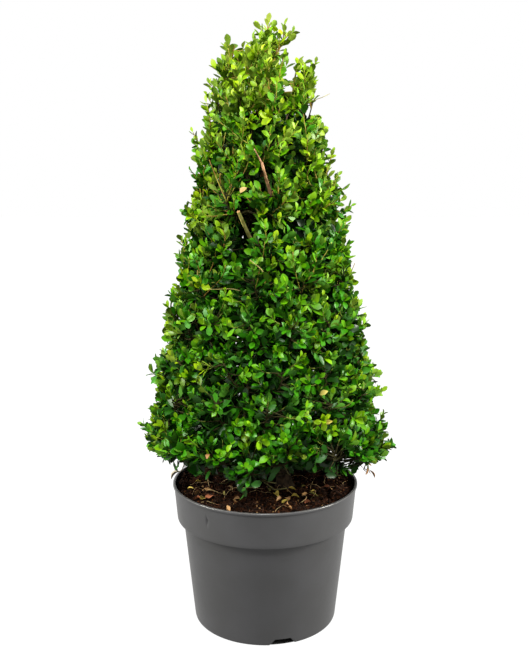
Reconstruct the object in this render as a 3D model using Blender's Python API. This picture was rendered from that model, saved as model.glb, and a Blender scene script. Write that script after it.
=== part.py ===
# A clipped pyramid of small-leaved holly in a plastic nursery pot.
# Metres, +Z up. The origin is the middle of the pot's underside, and -Y is the front.
# Azimuths are measured from the front towards +X.
import math

import bmesh
import bpy
import numpy as np

SEED = 41
GAP = 0.0003                    # clearance between pieces that touch
CUT_GAP = 0.00035               # the same where one piece is cut by the other
GOLDEN_ANGLE = math.radians(137.5)

# Pot, with outer radii and heights
POT_SIDES = 36
POT_HEIGHT = 0.2136
LIP_RADIUS = 0.1400
LIP_HEIGHT = 0.0038
LIP_PROUD = 0.0018
LIP_WIDTH = 0.0036
LIP_BEVEL = 0.0008
COLLAR_FOOT_RADIUS = 0.1335
COLLAR_FOOT_HEIGHT = 0.1600
SHOULDER_FOOT_HEIGHT = 0.1420
SHOULDER_STEPS = 2
BODY_RADIUS = 0.1084            # of the body's cone at the ground
BODY_SLOPE = 0.104              # radius gained per metre of height
FOOT_BEVEL = 0.0030
FOOT_STEPS = 2
FOOT_RING_WIDTH = 0.0070
BASE_UNDERSIDE = 0.0105
WALL = 0.0020
NOTCHES = 3
NOTCH_AZIMUTH = math.radians(13.5)
NOTCH_FOOT_WIDTH = 0.039
NOTCH_TOP_WIDTH = 0.023
NOTCH_HEIGHT = 0.0100
NOTCH_OVERRUN = (0.004, 0.006)  # of its cutter, past the foot ring's two faces
NOTCH_DROP = 0.002              # and below the ground
POT_SHARP = math.radians(30.0)

# Potting mix, level at the trunk and lumpy elsewhere
MIX_HEIGHT = 0.2010
MIX_RELIEF = 0.0028
MIX_RINGS = (0.112, 0.082, 0.048)
MIX_LEVEL_RADIUS = 0.040

# Trunk, from its cut at the mix to the tip that carries the leader
TRUNK_FOOT = (0.030, 0.000)
TRUNK_TIP = (0.004, -0.002)
TRUNK_TOP = 0.800
TRUNK_SIDES = 9
TRUNK_RINGS = 14
RING_CROWDING = 1.6             # power that sets the rings closer at the foot
TRUNK_RADIUS = 0.0096
TRUNK_TIP_RADIUS = 0.0027
TRUNK_TAPER = 0.85
TRUNK_LEAN = 1.7
TRUNK_SWAY = 0.005
TRUNK_SWAY_TURN = 4.0
FLARE_RADIUS = 0.0048
FLARE_HEIGHT = 0.011
FLARE_LOBES = 4
FLARE_LOBE_DEPTH = 0.16
TRUNK_PATH_POINTS = 16

# Crown outline: a straight cone with a rounded top and a hem that is cut in below
CONE_RADIUS = 0.187
CONE_FOOT = 0.300
CONE_SLOPE = 0.2224             # radius lost per metre of height
CROWN_TOP = 0.891
DOME_FOOT = 0.790
DOME_POWERS = (2.2, 0.62)
HEM_HEIGHT = 0.248
HEM_TILT = 0.010                # the hem hangs lower on the right
HEM_FRONT = 0.016               # and is cut higher at the front
HEM_ROUNDING = 0.044
HEM_CUT = 0.22                  # share of the radius that the rounding takes off
HEM_POWER = 2.5
SPRAY_AZIMUTH = math.radians(-9.0)
SPRAY_HALF_WIDTH = math.radians(15.0)
SPRAY_DROP = 0.048              # of the one spray that hangs down at the front
OUTLINE_WAVE = 0.0035
WAVE_TURNS = (3, 5)
WAVE_CLIMBS = (21.0, -34.0)
RISE = 0.70                     # height gained per unit of outward growth

# Boughs and stubs
BOUGH_SIDES = 5
BOUGH_POINTS = 5
BOUGH_PULLS = (0.38, 0.34)      # reach of the curve's handles, as shares of its run
BOUGH_LIFT = 0.10
BOUGH_TAPER = 0.62
STUB_TAPER = 0.80

# Twigs and leaves
STEM_SIDES = 4
STEM_LENGTH = 0.010
STEM_TAPER = 0.70
STEM_FORK = 0.45                # share of the stem where the side branches leave it
BRANCH_RADIUS = 0.0029
TWIG_SIDES = 3
TWIG_RADII = (0.0024, 0.0022, 0.0013)
TWIG_ROOM = 0.004               # kept between a twig and a limb
TWIG_STAGGER = 0.12             # of a column's width, to alternate sides row by row
TWIG_CLIMB = 0.030
TIP_DEPTH = 0.012
HEM_ROOM = 0.014                # between the hem and the tips of the lowest twigs
LEAF_LENGTH = 0.052
LEAF_WIDTH = 0.60               # of its length
LEAF_WIDEST = 0.60
LEAF_CUP = 0.09
LEAF_KEEL = 0.46
LEAF_THICKNESS = 0.026
LEAF_LENGTHS = (0.86, 1.08)
LEAF_SPREAD = math.radians(76.0)
LEAF_FOLLOW = math.radians(46.0)    # how far the last leaf turns to follow its twig
LEAF_SCATTER = math.radians(16.0)
LEAF_TURNS = 0.9                # scatter round the twig with a core behind it, in radians
LOOSE_TURNS = 0.5               # and with none
FIRST_LEAF = 0.12
LAST_LEAF = 0.97
SKY_SHARE = 0.40                # how far the leaves face up as well as out
TWIG_SHARE = 0.35
ROLL = 0.30
LEAF_ROOM = 0.0010              # kept between a leaf and a limb
TRIES = 26
SHRINK = 0.016                  # of its length, that a leaf gives up at each try
SPACE_MARGIN = 0.0006

# Cores of the clipped masses
CORE_THICKNESS = 0.014
CORE_MARGIN = 0.0025
CORE_RELIEF = 0.004
CORE_COLUMNS = 4
CORE_ROWS = 3
CORE_SKIN = 0.002               # depth to which a leaf may sink in
CORE_REACH = 0.0060
LIMB_ROOM = 0.0012              # cut round a limb that passes through a mass
HUB_DEPTH = 0.50                # of the hubs and knees in the core, as shares of it
KNEE_DEPTH = 0.35
KNEE_DROP = 0.40
KNEE_FLOOR = 0.008

# Tiers of the crown: heights are where the borders meet the outline
TIERS = (
    dict(name="low", sectors=6, first=math.radians(-40.0), low=0.220, core_low=0.288, high=0.436,
         core=0.025, bough_start=0.216, bough_step=0.0085, order=(0, 3, 1, 4, 2, 5),
         bough_radius=0.0052, bough_end=(0.312, 0.066), rows=3, spacing=0.074, leaf=1.04, leaves=6),
    dict(name="mid", sectors=5, first=math.radians(-22.0), low=0.436, core_low=0.436, high=0.612,
         core=0.024, bough_start=0.368, bough_step=0.0095, order=(0, 2, 4, 1, 3),
         bough_radius=0.0040, bough_end=(0.479, 0.060), rows=3, spacing=0.074, leaf=1.02, leaves=5),
    dict(name="high", sectors=4, first=math.radians(-62.0), low=0.612, core_low=0.612, high=0.794,
         core=0.022, bough_start=0.540, bough_step=0.0090, order=(0, 2, 1, 3),
         bough_radius=0.0032, bough_end=(0.644, 0.052), rows=3, spacing=0.074, leaf=0.92, leaves=5),
)

# The loose top, whose shoots are given by the azimuth, radius and height of their tips
TOP = dict(name="top", first=math.radians(-35.0), low=0.794, core=None, bough_start=0.664,
           bough_step=0.0090, order=(0, 2, 1, 3), bough_radius=0.0026, bough_end=(0.034, 0.760),
           leaf=0.68, leaves=6)
TOP_SHOOTS = (
    ((2.0, 0.060, 0.822), (-20.0, 0.030, 0.868), (28.0, 0.072, 0.800)),
    ((85.0, 0.040, 0.874), (75.0, 0.068, 0.838), (115.0, 0.075, 0.805)),
    ((180.0, 0.048, 0.858), (160.0, 0.066, 0.824), (205.0, 0.072, 0.806)),
    ((268.0, 0.051, 0.866), (250.0, 0.070, 0.824), (290.0, 0.076, 0.806)),
)
LEADER_RADIUS = 0.026
LEADER_LOW = 0.60
LEADER_SHOOTS = ((150.0, 0.004, 0.906), (20.0, 0.018, 0.868), (200.0, 0.019, 0.852))
SHOOT_TIP = 0.016
SHOOT_KNEE = 0.22
SHOOT_LIFT = 0.004

# Pruned stubs that show at the front: where they leave the trunk, and their cut ends
STUBS = (
    dict(name="pruned_stub_low", start=0.505, end=(-0.036, -0.090, 0.622), radius=0.0040),
    dict(name="pruned_stub_high", start=0.628, end=(-0.007, -0.073, 0.690), radius=0.0037),
)

# Colour and roughness
BARK = ((0.16, 0.12, 0.075), 0.85)
LEAF_GREEN = ((0.095, 0.25, 0.030), 0.45)
MIX_BROWN = ((0.030, 0.018, 0.012), 0.95)
POT_GREY = ((0.085, 0.087, 0.090), 0.42)

UP = np.array([0.0, 0.0, 1.0])


def clear_scene():
    for old in list(bpy.data.objects):
        bpy.data.objects.remove(old, do_unlink=True)


def plain_material(name, finish):
    colour, roughness = finish
    material = bpy.data.materials.new(name)
    material.use_nodes = True
    shader = material.node_tree.nodes["Principled BSDF"]
    shader.inputs["Base Color"].default_value = (*colour, 1.0)
    shader.inputs["Roughness"].default_value = roughness
    shader.inputs["Metallic"].default_value = 0.0
    return material


# Meshes and Booleans
def closed_mesh(name, points, faces):
    # A mesh with its faces turned outwards
    mesh = bpy.data.meshes.new(name)
    mesh.from_pydata([tuple(map(float, point)) for point in points], [], faces)
    work = bmesh.new()
    work.from_mesh(mesh)
    bmesh.ops.recalc_face_normals(work, faces=work.faces)
    if work.calc_volume(signed=True) < 0:
        bmesh.ops.reverse_faces(work, faces=work.faces)
    work.to_mesh(mesh)
    work.free()
    return mesh


def add_object(name, mesh, material=None, collection=None):
    piece = bpy.data.objects.new(name, mesh)
    (collection or bpy.context.scene.collection).objects.link(piece)
    if material:
        mesh.materials.clear()
        mesh.materials.append(material)
    return piece


def evaluated_mesh(piece):
    depsgraph = bpy.context.evaluated_depsgraph_get()
    return bpy.data.meshes.new_from_object(piece.evaluated_get(depsgraph))


def cut_by(piece, cutters):
    for cutter in cutters:
        cutter.hide_render = True
        cutter.display_type = "WIRE"
        boolean = piece.modifiers.new(cutter.name, "BOOLEAN")
        boolean.operation = "DIFFERENCE"
        boolean.object = cutter
    mesh = evaluated_mesh(piece)
    piece.modifiers.clear()
    piece.data = mesh
    for cutter in cutters:
        bpy.data.objects.remove(cutter, do_unlink=True)


def keep_largest_body(mesh):
    # Loose scraps and sealed hollows are bodies of their own, and go
    work = bmesh.new()
    work.from_mesh(mesh)
    seen = set()
    best = set()
    for start in work.verts:
        if start in seen:
            continue
        body = {start}
        front = [start]
        while front:
            here = front.pop()
            for edge in here.link_edges:
                there = edge.other_vert(here)
                if there not in body:
                    body.add(there)
                    front.append(there)
        seen |= body
        if len(body) > len(best):
            best = body
    loose = [vertex for vertex in work.verts if vertex not in best]
    bmesh.ops.delete(work, geom=loose, context="VERTS")
    work.to_mesh(mesh)
    work.free()


def is_closed(mesh):
    work = bmesh.new()
    work.from_mesh(mesh)
    closed = len(work.faces) > 0 and all(edge.is_manifold for edge in work.edges)
    closed = closed and work.calc_volume(signed=True) > 0
    work.free()
    return closed


def union_mesh(piece, group, solver):
    # The piece joined with all of a collection by one Boolean
    boolean = piece.modifiers.new("join", "BOOLEAN")
    boolean.operation = "UNION"
    boolean.solver = solver
    boolean.operand_type = "COLLECTION"
    boolean.collection = group
    mesh = evaluated_mesh(piece)
    piece.modifiers.clear()
    keep_largest_body(mesh)
    return mesh


def join_solids(name, meshes, material):
    # One solid out of many, joined by the second solver where the first leaves it open
    group = bpy.data.collections.new(name + "_parts")
    bpy.context.scene.collection.children.link(group)
    for number, mesh in enumerate(meshes[1:]):
        add_object(f"{name}_part_{number}", mesh, collection=group)
    piece = add_object(name, meshes[0])
    joined = union_mesh(piece, group, "EXACT")
    if not is_closed(joined):
        joined = union_mesh(piece, group, "MANIFOLD")
    for extra in list(group.objects):
        bpy.data.objects.remove(extra, do_unlink=True)
    bpy.data.collections.remove(group)
    piece.data = joined
    joined.materials.clear()
    joined.materials.append(material)
    return piece


# Points and directions
def polar(azimuth, radius, height):
    return np.array([radius * math.sin(azimuth), -radius * math.cos(azimuth), height])


def unit(vector):
    return vector / np.linalg.norm(vector)


def across(direction):
    # Any unit vector square to a direction
    helper = UP
    if abs(direction[2]) > 0.9:
        helper = np.array([1.0, 0.0, 0.0])
    return unit(np.cross(direction, helper))


def bezier(start, start_pull, end_pull, end, count):
    steps = np.linspace(0.0, 1.0, count)[:, None]
    rest = 1.0 - steps
    return (rest ** 3 * start + 3 * rest ** 2 * steps * start_pull
            + 3 * rest * steps ** 2 * end_pull + steps ** 3 * end)


def turned(name, profile, sides):
    # A profile of (radius, height) that starts and ends on the axis, turned round it
    points = []
    rings = []
    for radius, height in profile:
        if radius == 0.0:
            rings.append([len(points)])
            points.append((0.0, 0.0, height))
            continue
        rings.append(list(range(len(points), len(points) + sides)))
        for side in range(sides):
            points.append(polar(2 * math.pi * side / sides, radius, height))
    faces = []
    for lower, upper in zip(rings, rings[1:]):
        for side in range(sides):
            after = (side + 1) % sides
            if len(lower) == 1:
                faces.append((lower[0], upper[after], upper[side]))
            elif len(upper) == 1:
                faces.append((lower[side], lower[after], upper[0]))
            else:
                faces.append((lower[side], lower[after], upper[after], upper[side]))
    return closed_mesh(name, points, faces)


def stacked(name, centres, rings):
    # Rings of points round their centres, joined into one closed limb
    sides = len(rings[0])
    points = [centre + offset for centre, ring in zip(centres, rings) for offset in ring]
    faces = [tuple(range(sides))]
    for level in range(len(rings) - 1):
        for side in range(sides):
            after = (side + 1) % sides
            low = level * sides
            high = low + sides
            faces.append((low + side, low + after, high + after, high + side))
    faces.append(tuple(range(len(points) - sides, len(points)))[::-1])
    return closed_mesh(name, points, faces)


def tube(name, path, radii, sides, first_way=None):
    # A limb of round section along a path, its rings square to the path
    path = np.asarray(path, dtype=float)
    tangents = np.gradient(path, axis=0)
    if first_way is not None:
        tangents[0] = first_way
    side_way = across(unit(tangents[0]))
    angles = 2 * math.pi * np.arange(sides) / sides
    rings = []
    for tangent, radius in zip(tangents, radii):
        tangent = unit(tangent)
        side_way = unit(side_way - tangent * np.dot(side_way, tangent))
        other_way = np.cross(tangent, side_way)
        rings.append([radius * (math.cos(a) * side_way + math.sin(a) * other_way) for a in angles])
    return stacked(name, path, rings)


# Crown outline
def cone_radius(height):
    return CONE_RADIUS - CONE_SLOPE * (height - CONE_FOOT)


def hem_height(azimuth):
    turn = (azimuth - SPRAY_AZIMUTH + math.pi) % (2 * math.pi) - math.pi
    drop = SPRAY_DROP * math.exp(-(turn / SPRAY_HALF_WIDTH) ** 2)
    return HEM_HEIGHT - HEM_TILT * math.sin(azimuth) + HEM_FRONT * math.cos(azimuth) - drop


def outline_radius(azimuth, height):
    wave = OUTLINE_WAVE
    for turns, climb in zip(WAVE_TURNS, WAVE_CLIMBS):
        wave *= math.sin(turns * azimuth + climb * height)
    radius = cone_radius(height) + wave
    if height > DOME_FOOT:
        part = min(1.0, (height - DOME_FOOT) / (CROWN_TOP - DOME_FOOT))
        radius = (cone_radius(DOME_FOOT) + wave) * (1.0 - part ** DOME_POWERS[0]) ** DOME_POWERS[1]
    below = (hem_height(azimuth) + HEM_ROUNDING - height) / HEM_ROUNDING
    if below > 0:
        radius *= 1.0 - HEM_CUT * min(1.0, below) ** HEM_POWER
    return radius


def border_height(radius, height):
    # Where the sloping border through a point meets the straight cone
    spread = CONE_RADIUS + CONE_SLOPE * CONE_FOOT - radius
    return (height + RISE * spread) / (1.0 + RISE * CONE_SLOPE)


def crown_point(azimuth, level, depth):
    # A point that lies a depth in from the outline, back along the way of growth
    return polar(azimuth, cone_radius(level) - depth, level - RISE * depth)


# Limbs
def trunk_part(height):
    return (height - MIX_HEIGHT) / (TRUNK_TOP - MIX_HEIGHT)


def trunk_centre(height):
    part = trunk_part(height)
    sway = TRUNK_SWAY * math.sin(math.pi * part)
    x = TRUNK_TIP[0] + (TRUNK_FOOT[0] - TRUNK_TIP[0]) * (1 - part) ** TRUNK_LEAN
    y = TRUNK_TIP[1] + (TRUNK_FOOT[1] - TRUNK_TIP[1]) * (1 - part)
    return np.array([x - sway, y + sway * math.cos(TRUNK_SWAY_TURN * part), height])


def trunk_radius(height):
    taper = (TRUNK_RADIUS - TRUNK_TIP_RADIUS) * (1 - trunk_part(height)) ** TRUNK_TAPER
    flare = FLARE_RADIUS * math.exp(-(height - MIX_HEIGHT) / FLARE_HEIGHT)
    return TRUNK_TIP_RADIUS + taper + flare


def trunk_mesh(name, extra):
    low = MIX_HEIGHT + GAP
    heights = low + (TRUNK_TOP - low) * np.linspace(0.0, 1.0, TRUNK_RINGS) ** RING_CROWDING
    angles = 2 * math.pi * np.arange(TRUNK_SIDES) / TRUNK_SIDES
    rings = []
    for height in heights:
        lobes = FLARE_LOBE_DEPTH * math.exp(-(height - low) / FLARE_HEIGHT)
        ring = []
        for angle in angles:
            radius = trunk_radius(height) * (1 + lobes * math.cos(FLARE_LOBES * angle)) + extra
            ring.append(np.array([radius * math.cos(angle), radius * math.sin(angle), 0.0]))
        rings.append(ring)
    return stacked(name, [trunk_centre(height) for height in heights], rings)


def trunk_path():
    heights = np.linspace(MIX_HEIGHT, TRUNK_TOP, TRUNK_PATH_POINTS)
    centres = np.array([trunk_centre(height) for height in heights])
    return centres, np.array([trunk_radius(height) for height in heights])


def bough_path(start_height, end):
    # Leaves the trunk steeply and swings out to its mass
    start = trunk_centre(start_height)
    run = end - start
    start_pull = start + BOUGH_PULLS[0] * run + BOUGH_LIFT * np.linalg.norm(run) * UP
    end_pull = end - BOUGH_PULLS[1] * run
    return bezier(start, start_pull, end_pull, end, BOUGH_POINTS)


def add_limb(name, start_height, end, radius, taper, material, limbs):
    # A limb cut clear of the trunk that it leaves
    path = bough_path(start_height, end)
    radii = radius * np.linspace(1.0, taper, BOUGH_POINTS)
    limb = add_object(name, tube(name, path, radii, BOUGH_SIDES), material)
    cut_by(limb, [add_object(name + "_cutter", trunk_mesh(name + "_cutter", CUT_GAP))])
    limbs.append((path, radii))
    return path, radii


def add_boughs(tier, ends, bark, limbs):
    boughs = []
    for number, end in enumerate(ends):
        start = tier["bough_start"] + tier["bough_step"] * tier["order"][number]
        name = f"bough_{tier['name']}_{number + 1}"
        boughs.append(add_limb(name, start, end, tier["bough_radius"], BOUGH_TAPER, bark, limbs))
    return boughs


def distance_to_path(point, path, radii):
    # Distance from a point to a limb's surface, below zero inside it
    starts = path[:-1]
    runs = path[1:] - starts
    share = ((point - starts) * runs).sum(1) / (runs * runs).sum(1)
    share = np.clip(share, 0.0, 1.0)
    nearest = starts + share[:, None] * runs
    radius = radii[:-1] + share * (radii[1:] - radii[:-1])
    return float((np.linalg.norm(point - nearest, axis=1) - radius).min())


def clear_of(points, limbs, room):
    return all(distance_to_path(p, path, radii) > room for path, radii in limbs for p in points)


# Leaves
def leaf_points(root, direction, normal, length):
    # A blade folded up along its midrib, widest past its middle, with a keel underneath
    side = 0.5 * LEAF_WIDTH * length * np.cross(normal, direction)
    widest = root + length * (LEAF_WIDEST * direction + LEAF_CUP * normal)
    tip = root + length * direction
    keel = root + length * (LEAF_KEEL * direction - LEAF_THICKNESS * normal)
    return np.array([root, widest + side, tip, widest - side, keel])


def leaf_mesh(points):
    faces = [(0, 3, 2), (0, 2, 1), (0, 1, 4), (1, 2, 4), (2, 3, 4), (3, 0, 4)]
    return closed_mesh("leaf", points, faces)


def leaf_edges(leaves):
    starts = leaves[:, [0, 1, 2, 3, 0]].reshape(-1, 3)
    ends = leaves[:, [1, 2, 3, 0, 2]].reshape(-1, 3)
    return starts, ends


def leaf_halves(leaves):
    return leaves[:, [[0, 1, 2], [0, 2, 3]]].reshape(-1, 3, 3)


def segments_cross(starts, ends, triangles):
    # Whether any of the segments passes through any of the triangles
    origin = starts[:, None]
    ray = (ends - starts)[:, None]
    corner = triangles[None, :, 0]
    edge_1 = triangles[None, :, 1] - corner
    edge_2 = triangles[None, :, 2] - corner
    cross = np.cross(ray, edge_2)
    scale = (edge_1 * cross).sum(-1)
    flat = scale == 0.0
    scale = np.where(flat, 1.0, scale)
    offset = origin - corner
    first = (offset * cross).sum(-1) / scale
    second_way = np.cross(offset, edge_1)
    second = (ray * second_way).sum(-1) / scale
    along = (edge_2 * second_way).sum(-1) / scale
    inside = (first > 0) & (second > 0) & (first + second < 1)
    return bool((inside & ~flat & (along > 0) & (along < 1)).any())


def leaves_cross(leaves, others):
    return (segments_cross(*leaf_edges(leaves), leaf_halves(others))
            or segments_cross(*leaf_edges(others), leaf_halves(leaves)))


class Sector:
    # A mass's own space: between two azimuths, two sloping borders and the crown's outline

    def __init__(self, first, last, low, high, core_low=0.0, inner=0.0, outer=1.0):
        self.first = first
        self.last = last
        self.low = low
        self.high = high
        self.core_low = core_low
        self.inner = inner
        self.outer = outer
        self.all_round = math.isclose(last - first, 2 * math.pi)

    def middle(self):
        return 0.5 * (self.first + self.last)

    def holds(self, point, margin=SPACE_MARGIN):
        radius = math.hypot(point[0], point[1])
        azimuth = math.atan2(point[0], -point[1])
        turn = (azimuth - self.middle() + math.pi) % (2 * math.pi) - math.pi
        room = min(0.5 * (self.last - self.first) - abs(turn), 0.5 * math.pi)
        if not self.all_round and radius * math.sin(room) < margin:
            return False
        level = border_height(radius, point[2])
        if level < self.low + margin or level > self.high - 2 * margin:
            return False
        if radius < self.inner + margin or radius > self.outer - margin:
            return False
        if point[2] < hem_height(azimuth) or point[2] > CROWN_TOP:
            return False
        return radius < outline_radius(azimuth, point[2])

    def in_core(self, point, depth):
        radius = math.hypot(point[0], point[1])
        level = border_height(radius, point[2])
        return level > self.core_low - CORE_MARGIN and cone_radius(level) - radius > depth


class Mass:
    # A mass of foliage in its own space, with the twigs and leaves that have found room in it

    def __init__(self, name, space, habit, limbs, seed):
        self.name = name
        self.space = space
        self.core = habit["core"]
        self.leaf_length = LEAF_LENGTH * habit["leaf"]
        self.leaf_count = habit["leaves"]
        self.limbs = limbs
        self.random = np.random.default_rng(seed)
        self.twigs = []
        self.leaves = []

    def add_twig(self, hub, knee, tip):
        if clear_of([knee, tip, 0.5 * (knee + tip)], self.limbs, TWIG_ROOM):
            self.twigs.append(np.array([hub, knee, tip]))

    def fits(self, points, own_twig):
        # A leaf keeps to its space, and clear of the core, the limbs, the leaves and the other twigs
        if not all(self.space.holds(point) for point in points):
            return False
        if self.core and any(self.space.in_core(p, self.core - CORE_SKIN) for p in points[1:]):
            return False
        if not clear_of(points, self.limbs, LEAF_ROOM):
            return False
        leaf = points[None]
        if self.leaves and leaves_cross(leaf, np.array(self.leaves)):
            return False
        others = [twig for twig in self.twigs if twig is not own_twig]
        return not any(segments_cross(twig[:-1], twig[1:], leaf_halves(leaf)) for twig in others)

    def angles(self, number, share):
        # A leaf's angle off its twig and round it: in two rows on the outer side where a core
        # lies behind the twig, and in a spiral where none does
        scatter = self.random.uniform(-LEAF_SCATTER, LEAF_SCATTER)
        spread = LEAF_SPREAD - LEAF_FOLLOW * share ** 2 + scatter
        if self.core:
            return spread, math.pi * number + self.random.uniform(-LEAF_TURNS, LEAF_TURNS)
        return spread, GOLDEN_ANGLE * number + self.random.uniform(-LOOSE_TURNS, LOOSE_TURNS)

    def grow_leaves(self, twig):
        # Leaves climb a twig from its knee to its tip
        knee, tip = twig[1:]
        axis = unit(tip - knee)
        out = unit(np.array([tip[0], tip[1], SKY_SHARE * math.hypot(tip[0], tip[1])]))
        side_way = unit(np.cross(axis, out))
        out_way = np.cross(side_way, axis)
        for number in range(self.leaf_count):
            share = number / (self.leaf_count - 1)
            root = knee + (FIRST_LEAF + (LAST_LEAF - FIRST_LEAF) * share) * (tip - knee)
            for attempt in range(TRIES):
                spread, angle = self.angles(number, share)
                rise = abs(math.sin(angle)) if self.core else math.sin(angle)
                radial = math.cos(angle) * side_way + rise * out_way
                direction = unit(math.cos(spread) * axis + math.sin(spread) * radial)
                facing = out + TWIG_SHARE * axis + self.random.uniform(-ROLL, ROLL) * side_way
                normal = unit(facing - direction * np.dot(facing, direction))
                length = self.leaf_length * self.random.uniform(*LEAF_LENGTHS) * (1 - SHRINK * attempt)
                points = leaf_points(root, direction, normal, length)
                if self.fits(points, twig):
                    self.leaves.append(points)
                    break

    def core_mesh(self):
        # A curved pad inside the leaves that fills the mass's space apart from a margin
        space = self.space
        low = space.core_low + CORE_MARGIN
        high = space.high - CORE_MARGIN
        points = []
        for depth in (self.core, self.core + CORE_THICKNESS):
            for level in np.linspace(low, high, CORE_ROWS):
                for share in np.linspace(0.0, 1.0, CORE_COLUMNS):
                    inset = depth + self.random.uniform(0.0, CORE_RELIEF)
                    edge = CORE_MARGIN / (cone_radius(level) - inset)
                    azimuth = space.first + edge + share * (space.last - space.first - 2 * edge)
                    points.append(crown_point(azimuth, level, inset))
        back = CORE_ROWS * CORE_COLUMNS
        grid = np.arange(back).reshape(CORE_ROWS, CORE_COLUMNS)
        faces = []
        for row in range(CORE_ROWS - 1):
            for column in range(CORE_COLUMNS - 1):
                face = [*grid[row, column:column + 2], *grid[row + 1, column:column + 2][::-1]]
                faces.append(tuple(int(index) for index in face))
                faces.append(tuple(int(index) + back for index in face[::-1]))
        for line in (grid[0], grid[-1], grid[:, 0], grid[:, -1]):
            for start, end in zip(line[:-1], line[1:]):
                faces.append((int(start), int(end), int(end) + back, int(start) + back))
        return closed_mesh("core", points, faces)

    def meets_core(self, path):
        # Whether a limb comes through the layer that holds the core
        layer = self.core + CORE_THICKNESS + CORE_REACH
        for low, high in zip(path[:-1], path[1:]):
            for share in np.linspace(0.0, 1.0, 9):
                point = low + share * (high - low)
                radius = math.hypot(point[0], point[1])
                depth = cone_radius(border_height(radius, point[2])) - radius
                if depth < layer and self.space.holds(point, -CORE_REACH):
                    return True
        return False

    def build(self, base, way, end, radius, hubs, material):
        # The stem, a branch to each hub, the twigs, their leaves, and the core that holds them
        for twig in self.twigs:
            self.grow_leaves(twig)
        solids = [tube("stem", [base, end], [radius, STEM_TAPER * radius], STEM_SIDES, way)]
        fork = base + STEM_FORK * (end - base)
        for hub in hubs:
            solids.append(tube("branch", [fork, hub], [BRANCH_RADIUS, TWIG_RADII[0]], TWIG_SIDES))
        solids += [tube("twig", twig, TWIG_RADII, TWIG_SIDES) for twig in self.twigs]
        solids += [leaf_mesh(points) for points in self.leaves]
        if self.core:
            solids.insert(0, self.core_mesh())
        print(self.name, len(self.twigs), "twigs", len(self.leaves), "leaves")
        mass = join_solids(self.name, solids, material)
        cutters = []
        for number, (path, radii) in enumerate(self.limbs):
            if self.core and self.meets_core(path):
                cutter = tube("clear", path, radii + LIMB_ROOM, BOUGH_SIDES + 1)
                cutters.append(add_object(f"{self.name}_clear_{number}", cutter))
        if cutters:
            cut_by(mass, cutters)
            keep_largest_body(mass.data)


# Pot and mix
def body_radius(height):
    return BODY_RADIUS + BODY_SLOPE * height


def shoulder_line(inset, lift):
    # The hollow curve from the body out to the foot of the collar
    foot = body_radius(SHOULDER_FOOT_HEIGHT)
    line = []
    for step in range(SHOULDER_STEPS + 1):
        angle = 0.5 * math.pi * step / SHOULDER_STEPS
        out = foot + (COLLAR_FOOT_RADIUS - foot) * (1 - math.cos(angle))
        rise = (COLLAR_FOOT_HEIGHT - SHOULDER_FOOT_HEIGHT) * math.sin(angle)
        line.append((out - inset, SHOULDER_FOOT_HEIGHT + rise + lift))
    return line


def notch_cutter(number, foot_ring):
    # A block with sloping sides, right through the foot ring
    azimuth = NOTCH_AZIMUTH + 2 * math.pi * number / NOTCHES
    out = polar(azimuth, 1.0, 0.0)
    side = polar(azimuth + 0.5 * math.pi, 1.0, 0.0)
    points = []
    for reach in (foot_ring - NOTCH_OVERRUN[0], BODY_RADIUS + NOTCH_OVERRUN[1]):
        for width, height in ((NOTCH_FOOT_WIDTH, -NOTCH_DROP), (NOTCH_TOP_WIDTH, NOTCH_HEIGHT)):
            for hand in (-0.5, 0.5):
                points.append(reach * out + hand * width * side + height * UP)
    faces = [(0, 1, 3, 2), (4, 6, 7, 5), (0, 4, 5, 1), (2, 3, 7, 6), (0, 2, 6, 4), (1, 5, 7, 3)]
    return add_object(f"notch_{number}", closed_mesh("notch", points, faces))


def build_pot(material):
    foot_ring = BODY_RADIUS - FOOT_BEVEL - FOOT_RING_WIDTH
    collar_top = LIP_RADIUS - LIP_PROUD
    lip_foot = POT_HEIGHT - LIP_HEIGHT
    floor = BASE_UNDERSIDE + WALL
    profile = [(0.0, BASE_UNDERSIDE), (foot_ring, BASE_UNDERSIDE), (foot_ring, 0.0)]
    for step in range(FOOT_STEPS + 1):
        angle = 0.5 * math.pi * step / FOOT_STEPS
        out = BODY_RADIUS - FOOT_BEVEL * (1 - math.sin(angle))
        profile.append((out, FOOT_BEVEL * (1 - math.cos(angle))))
    profile += shoulder_line(0.0, 0.0)
    profile += [
        (collar_top, lip_foot),
        (LIP_RADIUS, lip_foot + LIP_BEVEL),
        (LIP_RADIUS, POT_HEIGHT - LIP_BEVEL),
        (LIP_RADIUS - LIP_BEVEL, POT_HEIGHT),
        (LIP_RADIUS - LIP_WIDTH, POT_HEIGHT),
        (collar_top - WALL, lip_foot),
    ]
    profile += shoulder_line(WALL, 0.5 * WALL)[::-1]
    profile += [(body_radius(floor) - WALL, floor), (0.0, floor)]
    pot = add_object("pot", turned("pot", profile, POT_SIDES), material)
    cut_by(pot, [notch_cutter(number, foot_ring) for number in range(NOTCHES)])
    pot.data.shade_smooth()
    pot.data.set_sharp_from_angle(angle=POT_SHARP)


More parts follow.
